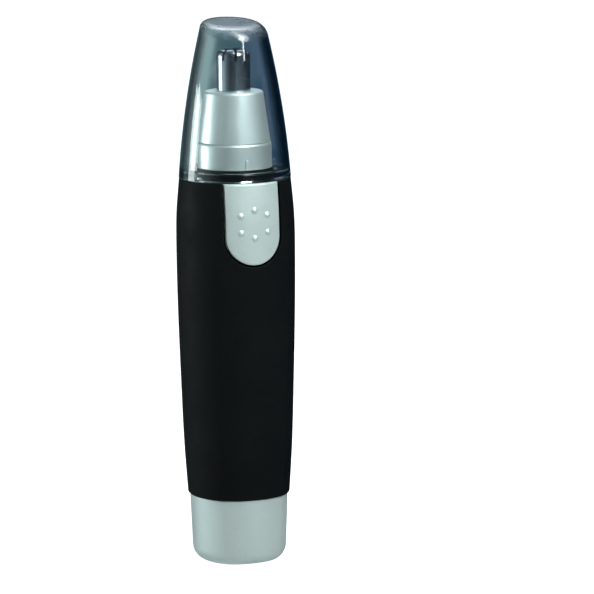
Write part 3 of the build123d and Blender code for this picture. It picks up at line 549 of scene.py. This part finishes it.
def make_shell(name, node, rear):
    """Half shell of the grip, hollow, with rounded seam and rim edges; the front has the window."""
    surface = Surface()
    turn = -1 if rear else 1
    rows = edge_rows(GRIP_BASE, GRIP_TOP, FOOT_ROUND, RIM_ROUND, ROW_PITCH)
    seam = [(SEAM_GAP, RIM_ROUND), (SEAM_GAP + RIM_ROUND * 0.3, RIM_ROUND * 0.3),
            (SEAM_GAP + RIM_ROUND, 0.0), (SEAM_BORDER, 0.0)]

    def column_places(height):
        quarter = half_angles(GRIP_STATIONS, height)[:-2]
        side = section_radius(GRIP_STATIONS, pi / 2, height)
        edge = [(pi / 2 - off / side, inset) for off, inset in seam]
        half = [(angle, 0.0) for angle in quarter] + list(reversed(edge))
        return [(-angle, inset) for angle, inset in reversed(half[1:])] + half

    def grip_point(angle, height, inset):
        across, forward, up = section_point(GRIP_STATIONS, angle, height, inset)
        return surface.point((turn * across, turn * forward, up))

    outer, inner = [], []
    for height, row_inset in rows:
        places = column_places(height)
        outer.append([grip_point(angle, height, max(inset, row_inset)) for angle, inset in places])
        inner.append([grip_point(angle, height, WALL) for angle, _ in places])
    columns = len(outer[0])
    middle = columns // 2
    left, right = middle - EDGE_COLUMNS + 1, middle + EDGE_COLUMNS - 1
    sill = max(i for i, (height, _) in enumerate(rows)
               if height < PLATE_ARC_HEIGHT - WINDOW_HALF_WIDTH - WINDOW_MARGIN)
    for skin in (outer, inner):
        for k in range(len(rows) - 1):
            if rear or k < sill:
                surface.strip(skin[k], skin[k + 1])
            else:
                surface.strip(skin[k][:left + 1], skin[k + 1][:left + 1])
                surface.strip(skin[k][right:], skin[k + 1][right:])
    surface.strip([row[0] for row in outer], [row[0] for row in inner])
    surface.strip([row[-1] for row in outer], [row[-1] for row in inner])
    surface.strip(outer[0], inner[0])
    if rear:
        surface.strip(outer[-1], inner[-1])
    else:
        surface.strip(outer[-1][:left + 1], inner[-1][:left + 1])
        surface.strip(outer[-1][right:], inner[-1][right:])
        border = [(k, left) for k in range(len(rows) - 1, sill, -1)]
        border += [(sill, column) for column in range(left, right + 1)]
        border += [(k, right) for k in range(sill + 1, len(rows))]
        # spokes run from the window's edge over its rounded rim to the plain rows; each step is a
        # share of the way and an inset
        outer_spokes, inner_spokes = [], []
        for k, column in border:
            height, row_inset = rows[k]
            far = surface.points[outer[k][column]] / MM
            far_inner = surface.points[inner[k][column]] / MM
            near = Vector(window_point(far.x, height))
            reach = (Vector((far.x, far.z)) - near).length
            steps = [(0.0, RIM_ROUND), (min(RIM_ROUND * 0.3 / reach, 0.1), RIM_ROUND * 0.3),
                     (min(RIM_ROUND / reach, 0.35), 0.0), (min(0.4 / reach, 0.5), 0.0), (0.7, 0.0)]
            spoke, inner_spoke = [], []
            for t, inset in steps:
                place = near.lerp(Vector((far.x, far.z)), t)
                spoke.append(surface.point(front_point(place.x, place.y, max(inset, row_inset))))
                place = near.lerp(Vector((far_inner.x, far_inner.z)), t)
                inner_spoke.append(surface.point(front_point(place.x, place.y, WALL)))
            outer_spokes.append(spoke + [outer[k][column]])
            inner_spokes.append(inner_spoke + [inner[k][column]])
        for spokes in (outer_spokes, inner_spokes):
            surface.band(spokes, closed_rows=False)
        surface.strip([spoke[0] for spoke in outer_spokes], [spoke[0] for spoke in inner_spokes])
        for end in (0, -1):
            surface.strip(outer_spokes[end], inner_spokes[end])
    surface.make(name, "black_shell", "handle", node)


make_shell("grip_front", "front_casing", False)
make_shell("grip_rear", "rear_casing", True)


def plate_surface(half_width, top, front_inset, back_inset, edge_round):
    """U-shaped plate that follows the grip's front, with a rounded front edge."""
    surface = Surface()
    rim_steps, face_steps, side_steps, arc_steps = 4, 10, 12, 32

    def rounded_edge(start):
        """(place, inset) pairs from the back of an edge to its front."""
        return [(start, back_inset)] + [
            (start - edge_round * (1 - cos(t * pi / 2 / rim_steps)),
             front_inset + edge_round * (1 - sin(t * pi / 2 / rim_steps))) for t in range(rim_steps + 1)]

    inside = half_width - edge_round
    loops = rounded_edge(half_width)
    loops += [(inside * (1 - i / face_steps), front_inset) for i in range(1, face_steps + 1)]
    shoulder = top - edge_round
    straight = rounded_edge(top)
    straight += [(shoulder + (PLATE_ARC_HEIGHT - shoulder) * i / side_steps, front_inset)
                 for i in range(1, side_steps + 1)]
    arc = [pi * i / arc_steps for i in range(1, arc_steps)]

    def loop_places(width):
        places = [(-width, height, inset) for height, inset in straight]
        places += [(-width * cos(a), PLATE_ARC_HEIGHT - width * sin(a), front_inset) for a in arc]
        return places + [(width, height, inset) for height, inset in reversed(straight)]

    front = [[surface.point(front_point(x, z, max(inset, edge))) for x, z, edge in loop_places(width)]
             for width, inset in loops]
    back = [[surface.point(front_point(x, z, back_inset)) for x, z, _ in loop_places(width)]
            for width, _ in loops]
    for skin in (front, back):
        surface.band(skin, closed_rows=False)
    surface.strip(front[0], back[0])
    for end in (0, -1):
        surface.strip([row[end] for row in front], [row[end] for row in back])
    return surface


DOME_PLACES = ((0, 89.9), (0, 83.0), (3.5, 88.6), (-3.5, 88.6), (3.5, 84.4), (-3.5, 84.4))
DOME_FOOT = 0.92
DOME_HEIGHT = 0.35
DOME_SINK = 0.01            # how far a dot's foot goes into the plate
PLATE_PROUD = 0.1
PLATE_TOP_GAP = 0.1
PLATE_ROUND = 0.35
PLATE_BACK = 2.5            # back of plate and flange, in from the grip's surface
FLANGE_REACH = 1.2          # the flange goes this far past the plate, behind the shell
FLANGE_TOP = 93.0
FLANGE_GAP = 0.1
FLANGE_ROUND = 0.1


def add_domes(surface):
    """Six raised dots with soft feet."""
    rings, spokes = 7, 24
    for across, height in DOME_PLACES:
        rows = []
        for ring in range(rings):
            off = DOME_FOOT * (1 - ring / rings)
            rise = DOME_HEIGHT * (1 - (off / DOME_FOOT) ** 2) ** 1.5
            rows.append([surface.point(front_point(across + off * cos(2 * pi * i / spokes),
                                                   height + off * sin(2 * pi * i / spokes),
                                                   DOME_SINK - PLATE_PROUD - rise)) for i in range(spokes)])
        surface.band(rows)
        surface.fan(rows[-1], surface.point(front_point(across, height, -PLATE_PROUD - DOME_HEIGHT)))


plate = plate_surface(PLATE_HALF_WIDTH, GRIP_TOP - PLATE_TOP_GAP, -PLATE_PROUD, PLATE_BACK, PLATE_ROUND)
add_domes(plate)
plate.make("switch_plate", "silver_shell", "switch", "switch_button")
# the flange behind the groove is given the grip's black so that the groove round the plate looks dark:
# painted shade
flange = plate_surface(PLATE_HALF_WIDTH + FLANGE_REACH, FLANGE_TOP, WALL + FLANGE_GAP, PLATE_BACK,
                       FLANGE_ROUND)
flange.make("switch_flange_painted_shade", "black_shell", "switch")

# ---------------------------------------------------------------- battery cover
COVER_ROUND = 3.3           # rounding of the lower edge
COVER_TOP_ROUND = 0.2
COVER_ROW_PITCH = 1.4
COVER_FOOT_RADII = (2.0, 5.0, 7.5)      # rings of the flat underside
SPIGOT_RADIUS = 10.9        # step that the grip slides over
SPIGOT_CHAMFER = 0.3
COVER_BORE = 9.6
COVER_FLOOR = 1.8
COVER_FLOOR_RING = 4.0


def make_cover():
    surface = Surface()
    cover_top = COVER_STATIONS[-1][0]

    def shaped_row(height, inset):
        return [surface.point(section_point(COVER_STATIONS, angle, height, inset))
                for angle in ring_angles(COVER_STATIONS, height)]

    def round_row(height, radius):
        return [surface.point((radius * sin(angle), -radius * cos(angle), height))
                for angle in ring_angles(COVER_STATIONS, min(height, cover_top))]

    rows = [round_row(COVER_BASE, radius) for radius in COVER_FOOT_RADII]
    rows += [shaped_row(height, inset) for height, inset in
             edge_rows(COVER_BASE, cover_top, COVER_ROUND, COVER_TOP_ROUND, COVER_ROW_PITCH, steps=9)]
    rows += [round_row(height, radius) for radius, height in (
        (SPIGOT_RADIUS + 0.25, cover_top), (SPIGOT_RADIUS + 0.07, cover_top + 0.07),
        (SPIGOT_RADIUS, cover_top + 0.25), (SPIGOT_RADIUS, SPIGOT_TOP - SPIGOT_CHAMFER),
        (SPIGOT_RADIUS - 0.1, SPIGOT_TOP - 0.1), (SPIGOT_RADIUS - SPIGOT_CHAMFER, SPIGOT_TOP),
        (COVER_BORE + SPIGOT_CHAMFER, SPIGOT_TOP), (COVER_BORE + 0.1, SPIGOT_TOP - 0.1),
        (COVER_BORE, SPIGOT_TOP - SPIGOT_CHAMFER), (COVER_BORE, COVER_FLOOR + 0.6),
        (COVER_BORE - 0.2, COVER_FLOOR + 0.2), (COVER_BORE - 0.6, COVER_FLOOR),
        (COVER_FLOOR_RING, COVER_FLOOR))]
    surface.band(rows)
    surface.fan(rows[0], surface.point((0, 0, COVER_BASE)))
    surface.fan(rows[-1], surface.point((0, 0, COVER_FLOOR)))
    surface.make("base_cover", "silver_shell", "cover", "battery_cover")


make_cover()

# ---------------------------------------------------------------- lock ring and cone
RING_BORE = 8.3
RING_FOOT = 9.3             # radii of the ring's outside: foot, shoulder and top
RING_SHOULDER = 9.2
RING_LIP = 9.0
RING_CHAMFER = 0.6          # height of the slope at the ring's top
MARK_WIDTH = 0.9
MARK_HEIGHT = 2.7
MARK_ROOT = -8.8            # the mark starts inside the ring
MARK_ROWS = ((0.0, MARK_ROOT), (0.0, -9.42), (0.05, -9.48), (0.15, -9.5))    # (inset, face) going out
SKIRT_RADIUS = 8.1          # the cone's skirt goes down inside the ring
SKIRT_BASE = 104.2
SKIRT_BORE = 6.9
CONE_FOOT = 8.95
CONE_CROWN = 7.25
CONE_ROUND = 0.6
CONE_MOUTH = 4.25           # the cutter tube comes out here
CONE_LIP = 1.5              # thickness of the cone's top
CONE_BORE = 5.8
CONE_SEAT = 107.5           # height where the bore steps out to the skirt's


def add_mark(surface):
    """Raised upright index mark on the front of the lock ring, pill-shaped from the front."""
    count = 28
    middle = RING_BASE + MARK_HEIGHT / 2
    lift = MARK_HEIGHT / 2 - MARK_WIDTH / 2
    rows = []
    for shrink, face in MARK_ROWS:
        half = MARK_WIDTH / 2 - shrink
        row = []
        for i in range(count):
            angle = 2 * pi * i / count
            height = middle + half * sin(angle) + (lift if sin(angle) >= 0 else -lift)
            row.append(surface.point((half * cos(angle), face, height)))
        rows.append(row)
    surface.band(rows)
    for row, (_, face) in ((rows[0], MARK_ROWS[0]), (rows[-1], MARK_ROWS[-1])):
        surface.fan(row, surface.point((0, face, middle)))


ring = lathe(rounded(((RING_BORE, RING_BASE, 0.15), (RING_FOOT, RING_BASE, 0.2),
                      (RING_SHOULDER, CONE_BASE - RING_CHAMFER, 0.3), (RING_LIP, RING_TOP, 0.2),
                      (RING_BORE, RING_TOP, 0.15))))
add_mark(ring)
ring.make("lock_ring_band", "silver_shell", "ring", "lock_ring", material=head_silver)

cone = lathe(rounded(((SKIRT_BORE, SKIRT_BASE, 0.1), (SKIRT_RADIUS, SKIRT_BASE, 0.15),
                      (SKIRT_RADIUS, CONE_BASE, 0), (CONE_FOOT, CONE_BASE, 0.12),
                      (CONE_CROWN, CONE_TOP, CONE_ROUND), (CONE_MOUTH, CONE_TOP, 0.12),
                      (CONE_MOUTH, CONE_TOP - CONE_LIP, 0), (CONE_BORE, CONE_TOP - CONE_LIP, 0),
                      (CONE_BORE, CONE_SEAT, 0), (SKIRT_BORE, CONE_SEAT, 0))))
cone.make("cutter_cone", "silver_shell", "cutter_head", "head_cone", material=head_silver)

# ---------------------------------------------------------------- slotted cutter tube
CUTTER_RADIUS = 4.2
CUTTER_BORE = 3.7
CUTTER_MOUTH = 2.3
CUTTER_FLANGE_RADIUS = 5.4
CUTTER_FLANGE = 1.0
TIP_ROUND = 1.6             # rounding of the tube's end, outside
TIP_BORE_ROUND = 1.1        # and inside
TIP_WALL = 0.5
SLOT_COUNT = 8
SLOT_HALF = 0.325
SLOT_BASE = 125.5
SLOT_START = radians(35.5)
SLOT_SHARES = (-1.0, -0.8, -0.5, 0.0, 0.5, 0.8, 1.0)    # places across a slot, in half widths
SLOT_COLUMNS = len(SLOT_SHARES) - 1
TOOTH_COLUMNS = 7
TUBE_ROWS = 6
TUBE_MARGIN = 0.6           # plain tube ends this far below the slots' round ends


def make_cutter():
    surface = Surface()
    pitch = 2 * pi / SLOT_COUNT
    slot_low = SLOT_BASE + SLOT_HALF

    def row_angles(radius):
        """Angles round the tube, each with its share of the slot's half width, or None on a tooth."""
        edge = asin(SLOT_HALF / radius)
        places = []
        for slot in range(SLOT_COUNT):
            middle = SLOT_START + slot * pitch
            places += [(middle + asin(share * SLOT_HALF / radius), share) for share in SLOT_SHARES]
            places += [(middle + edge + (pitch - 2 * edge) * i / TOOTH_COLUMNS, None)
                       for i in range(1, TOOTH_COLUMNS)]
        return places

    def row(radius, height, scoop=False):
        numbers = []
        for angle, share in row_angles(radius):
            drop = SLOT_HALF * sqrt(1 - share ** 2) if scoop and share is not None else 0.0
            numbers.append(surface.point((radius * cos(angle), radius * sin(angle), height - drop)))
        return numbers

    flange_top = CUTTER_BASE + CUTTER_FLANGE
    outer = [row(CUTTER_FLANGE_RADIUS, CUTTER_BASE), row(CUTTER_FLANGE_RADIUS, flange_top),
             row(CUTTER_RADIUS, flange_top)]
    inner = [row(CUTTER_BORE, CUTTER_BASE)]
    for i in range(1, TUBE_ROWS + 1):
        height = flange_top + (slot_low - TUBE_MARGIN - flange_top) * i / TUBE_ROWS
        outer.append(row(CUTTER_RADIUS, height))
        inner.append(row(CUTTER_BORE, height))
    outer.append(row(CUTTER_RADIUS, slot_low, scoop=True))
    inner.append(row(CUTTER_BORE, slot_low, scoop=True))
    for skin in (outer, inner):
        surface.band(skin)
    surface.strip(outer[0], inner[0], closed=True)

    def tip_path(wall_radius, fillet, end_height, steps=8):
        """(radius, height) places over the rounded end, from the wall to the mouth."""
        turns = [pi / 2 * i / steps for i in range(steps + 1)]
        return [(wall_radius - fillet + fillet * cos(turn), CUTTER_TOP - TIP_ROUND + fillet * sin(turn))
                for turn in turns] + [(CUTTER_MOUTH, end_height)]

    outer_path = tip_path(CUTTER_RADIUS, TIP_ROUND, CUTTER_TOP)
    inner_path = tip_path(CUTTER_BORE, TIP_BORE_ROUND, CUTTER_TOP - TIP_WALL)
    outer_rows = [outer[-1]] + [row(*place) for place in outer_path]
    inner_rows = [inner[-1]] + [row(*place) for place in inner_path]
    total = len(outer[0])
    for slot in range(SLOT_COUNT):
        edge = slot * (SLOT_COLUMNS + TOOTH_COLUMNS)
        tooth = [(edge + SLOT_COLUMNS + i) % total for i in range(TOOTH_COLUMNS + 1)]
        for skin in (outer_rows, inner_rows):
            surface.band([[numbers[i] for i in tooth] for numbers in skin], closed_rows=False)
        for side in (tooth[0], tooth[-1]):
            surface.strip([numbers[side] for numbers in outer_rows],
                          [numbers[side] for numbers in inner_rows])
        surface.strip([outer_rows[-1][i] for i in tooth], [inner_rows[-1][i] for i in tooth])
        scoop = [(edge + i) % total for i in range(SLOT_COLUMNS + 1)]
        surface.strip([outer[-1][i] for i in scoop], [inner[-1][i] for i in scoop])
    surface.make("cutter_tube", "cutter_steel", "cutter_head", "outer_cutter", sharp=40)


make_cutter()

# ---------------------------------------------------------------- clear cap
CAP_RIM_ROUND = 0.25
INNER_SHARPNESS = 0.6       # how much less the shoulder is rounded inside, per millimetre of wall
LEAST_FILLET = 0.7


def arc_radius(height, low, middle, high):
    """Radius of revolution at a height, on the circle through three (radius, height) places."""
    (x1, y1), (x2, y2), (x3, y3) = low, middle, high
    turn = 2 * (x1 * (y2 - y3) + x2 * (y3 - y1) + x3 * (y1 - y2))
    s1, s2, s3 = x1 ** 2 + y1 ** 2, x2 ** 2 + y2 ** 2, x3 ** 2 + y3 ** 2
    cx = (s1 * (y2 - y3) + s2 * (y3 - y1) + s3 * (y1 - y2)) / turn
    cy = (s1 * (x3 - x2) + s2 * (x1 - x3) + s3 * (x2 - x1)) / turn
    radius = sqrt((x1 - cx) ** 2 + (y1 - cy) ** 2)
    side = 1 if x2 > cx else -1
    return cx + side * sqrt(radius ** 2 - (height - cy) ** 2)


def cap_end(direction, thickness):
    """(radius, height) places of the cap's shoulder and end, outwards in, in one direction."""
    corner_steps, disc_rings = 12, 6
    lean = CAP_LEAN * direction.y
    neck_radius, neck_height = CAP_NECK
    neck_radius -= thickness
    disc = CAP_DISC_HEIGHT - thickness
    corner_radius = (neck_radius - CAP_WALL_LEAN * (disc - neck_height)) / (1 + CAP_WALL_LEAN * lean)
    corner = Vector((corner_radius, disc + lean * corner_radius))
    down = Vector((CAP_WALL_LEAN, -1)).normalized()
    inwards = Vector((-1, -lean)).normalized()
    half = down.angle(inwards) / 2
    softness = direction.dot(CAP_SOFT_SIDE.normalized())
    fillet = max(CAP_SHOULDER + CAP_SHOULDER_SWING * softness - INNER_SHARPNESS * thickness, LEAST_FILLET)
    centre = corner + (down + inwards).normalized() * fillet / sin(half)
    start = corner + down * fillet / tan(half) - centre
    end = corner + inwards * fillet / tan(half) - centre
    turn = start.angle(end)
    parts = [i / corner_steps for i in range(corner_steps + 1)]
    places = [centre + (start * sin((1 - part) * turn) + end * sin(part * turn)) / sin(turn)
              for part in parts]
    rim = places[-1].x
    return places + [Vector((rim * (1 - i / disc_rings), disc + lean * rim * (1 - i / disc_rings)))
                     for i in range(1, disc_rings)]


def make_cap():
    surface = Surface()
    outer_low = (CAP_FOOT_RADIUS, CAP_BASE)
    inner_waist = (CAP_WAIST[0] - CAP_WALL, CAP_WAIST[1])
    inner_neck = (CAP_NECK[0] - CAP_WALL, CAP_NECK[1])
    columns = [Vector((cos(2 * pi * i / CAP_COLUMNS), sin(2 * pi * i / CAP_COLUMNS)))
               for i in range(CAP_COLUMNS)]

    def round_row(radius, height):
        return [surface.point((radius * column.x, radius * column.y, height)) for column in columns]

    def shaped_rows(thickness):
        profiles = [cap_end(column, thickness) for column in columns]
        return [[surface.point((profile[k].x * column.x, profile[k].x * column.y, profile[k].y))
                 for profile, column in zip(profiles, columns)] for k in range(len(profiles[0]))]

    def curved_rows(low, middle, high, first, last, count):
        """Rows up the wall's curve through three places."""
        heights = [first + (last - first) * i / count for i in range(count + 1)]
        return [round_row(arc_radius(height, low, middle, high), height) for height in heights]

    first = CAP_BASE + CAP_RIM_ROUND
    rim = arc_radius(first, outer_low, CAP_WAIST, CAP_NECK)
    feet = [round_row(rim - CAP_RIM_ROUND * (1 - cos(t * pi / 8)),
                      CAP_BASE + CAP_RIM_ROUND * (1 - sin(t * pi / 8))) for t in (4, 3, 2, 1)]
    wall = curved_rows(outer_low, CAP_WAIST, CAP_NECK, first, CAP_NECK[1] - 0.4, 34)
    outer_end = shaped_rows(0.0)
    surface.band(feet + wall + outer_end)
    surface.fan(outer_end[-1], surface.point((0, 0, CAP_DISC_HEIGHT)))
    inner = [round_row(radius, height) for radius, height in (
        (CAP_BORE + 0.3, CAP_BASE), (CAP_BORE + 0.09, CAP_BASE + 0.09), (CAP_BORE, CAP_BASE + 0.3),
        (CAP_BORE, CAP_SEAT_TOP - 0.25), (CAP_BORE + 0.07, CAP_SEAT_TOP - 0.08),
        (CAP_BORE + 0.25, CAP_SEAT_TOP), (11.0, CAP_SEAT_TOP + 0.25), (12.15, CAP_SEAT_TOP + 0.45),
        (12.38, CAP_SEAT_TOP + 0.55))]
    inner += curved_rows(CAP_INNER_FOOT, inner_waist, inner_neck, CAP_INNER_FOOT[1], CAP_NECK[1] - 0.6, 28)
    inner_end = shaped_rows(CAP_WALL)
    surface.band(inner + inner_end)
    surface.fan(inner_end[-1], surface.point((0, 0, CAP_DISC_HEIGHT - CAP_WALL)))
    surface.strip(feet[0], inner[0], closed=True)
    cap = surface.make("clear_cap", "clear_cap", "cap", "protective_cap")
    cap.visible_shadow = False      # light reaches the cutter head through the clear cap


make_cap()


# ---------------------------------------------------------------- stage
FLOOR_HALF = 6.0            # metres
FLOOR_GLOW = 0.97


def area_light(name, place, width, depth, power, colour):
    """Rectangular light aimed at the object's middle."""
    data = bpy.data.lights.new(name, "AREA")
    data.shape = "RECTANGLE"
    data.size = width
    data.size_y = depth
    data.energy = power
    data.color = colour
    light = bpy.data.objects.new(name, data)
    bpy.context.scene.collection.objects.link(light)
    light.location = place
    light.rotation_mode = "QUATERNION"
    light.rotation_quaternion = (object_middle - place).to_track_quat("-Z", "Y")
    return light


def make_floor():
    mesh = bpy.data.meshes.new("floor")
    mesh.from_pydata([(x * FLOOR_HALF, y * FLOOR_HALF, 0) for x, y in ((-1, -1), (1, -1), (1, 1), (-1, 1))],
                     [], [(0, 1, 2, 3)])
    floor = bpy.data.objects.new("floor", mesh)
    bpy.context.scene.collection.objects.link(floor)
    # the paper is left out of reflections and refractions, as if it ended at the picture's edge
    floor.visible_glossy = False
    floor.visible_transmission = False
    material, tree, shader = new_material("floor_paper")
    set_sockets(shader, Roughness=0.9, Specular_IOR_Level=0.1)
    shader.inputs["Emission Color"].default_value = (1, 1, 1, 1)
    shader.inputs["Emission Strength"].default_value = FLOOR_GLOW
    tree.links.new(ramp(tree, noise(tree, 30, 3), (0.3, 0.60), (0.7, 0.62)), shader.inputs["Base Color"])
    mesh.materials.append(material)


def make_world():
    """Studio surroundings, lighter and greener on the camera's left and dark blue on its right."""
    world = bpy.data.worlds.new("studio")
    bpy.context.scene.world = world
    world.use_nodes = True
    tree = world.node_tree
    background = tree.nodes["Background"]
    place = tree.nodes.new("ShaderNodeTexCoord")

    def along(direction, low, high):
        """How far the view goes along a direction, from 0 at low to 1 at high."""
        dot = tree.nodes.new("ShaderNodeVectorMath")
        dot.operation = "DOT_PRODUCT"
        dot.inputs[1].default_value = direction
        tree.links.new(place.outputs["Generated"], dot.inputs[0])
        part = tree.nodes.new("ShaderNodeMapRange")
        part.inputs["From Min"].default_value = low
        part.inputs["From Max"].default_value = high
        tree.links.new(dot.outputs["Value"], part.inputs["Value"])
        return part.outputs["Result"]

    across = along(right_of_view, -1.0, 1.0)
    behind = ramp(tree, across, (0.0, (0.6, 0.7, 0.7)), (0.05, (0.5, 0.6, 0.6)), (0.14, (0.06, 0.09, 0.10)),
                  (0.33, (0.03, 0.05, 0.06)), (0.375, (0.23, 0.37, 0.37)), (0.45, (0.22, 0.36, 0.37)),
                  (0.468, (0.07, 0.14, 0.16)), (0.51, (0.05, 0.11, 0.14)), (0.535, (0.025, 0.065, 0.13)),
                  (0.62, (0.02, 0.05, 0.10)), (0.66, (0.003, 0.01, 0.025)), (1.0, (0.003, 0.01, 0.02)))
    before = ramp(tree, across, (0.0, (0.6, 0.7, 0.7)), (0.05, (0.5, 0.6, 0.6)), (0.14, (0.16, 0.20, 0.21)),
                  (0.30, (0.04, 0.05, 0.055)), (0.60, (0.05, 0.065, 0.07)), (0.70, (0.14, 0.17, 0.19)),
                  (0.78, (0.08, 0.10, 0.11)), (1.0, (0.04, 0.05, 0.06)))
    mixed = tree.nodes.new("ShaderNodeMix")
    mixed.data_type = "RGBA"
    tree.links.new(along(Vector((back_of_view.x, back_of_view.y, 0)), -0.15, 0.15), mixed.inputs["Factor"])
    tree.links.new(behind, mixed.inputs["A"])
    tree.links.new(before, mixed.inputs["B"])
    tree.links.new(mixed.outputs["Result"], background.inputs["Color"])
    sky = tree.nodes.new("ShaderNodeBackground")
    sky.inputs["Color"].default_value = (1, 1, 1, 1)
    path = tree.nodes.new("ShaderNodeLightPath")
    mix = tree.nodes.new("ShaderNodeMixShader")
    tree.links.new(path.outputs["Is Camera Ray"], mix.inputs["Fac"])
    tree.links.new(background.outputs["Background"], mix.inputs[1])
    tree.links.new(sky.outputs["Background"], mix.inputs[2])
    tree.links.new(mix.outputs["Shader"], tree.nodes["World Output"].inputs["Surface"])


make_floor()
make_world()


def around(azimuth, elevation, distance):
    """Place round the object, from its azimuth off the front, its elevation and its distance."""
    azimuth, elevation = radians(azimuth), radians(elevation)
    return object_middle + distance * Vector((sin(azimuth) * cos(elevation), -cos(azimuth) * cos(elevation),
                                              sin(elevation)))


COOL_WHITE = (0.91, 1.0, 0.99)
STRIP_AZIMUTH = 14
area_light("side_light", around(-119, 2, 0.60), 0.20, 0.17, 0.85, COOL_WHITE)
overhead = area_light("overhead_strip", around(STRIP_AZIMUTH, 31, 0.94), 0.07, 1.44, 5.5, COOL_WHITE)
# the strip lies level, shines straight down and runs out from the object, so its reflection is a
# streak down the front
overhead.rotation_quaternion = Quaternion((0, 0, 1), radians(STRIP_AZIMUTH))
area_light("back_light", around(159, 42, 0.80), 0.50, 0.40, 1.1, (0.88, 0.93, 1.0))
area_light("fill_light", around(24, 46, 0.85), 0.32, 0.42, 5.0, COOL_WHITE)
bpy.context.scene.view_settings.view_transform = "Standard"
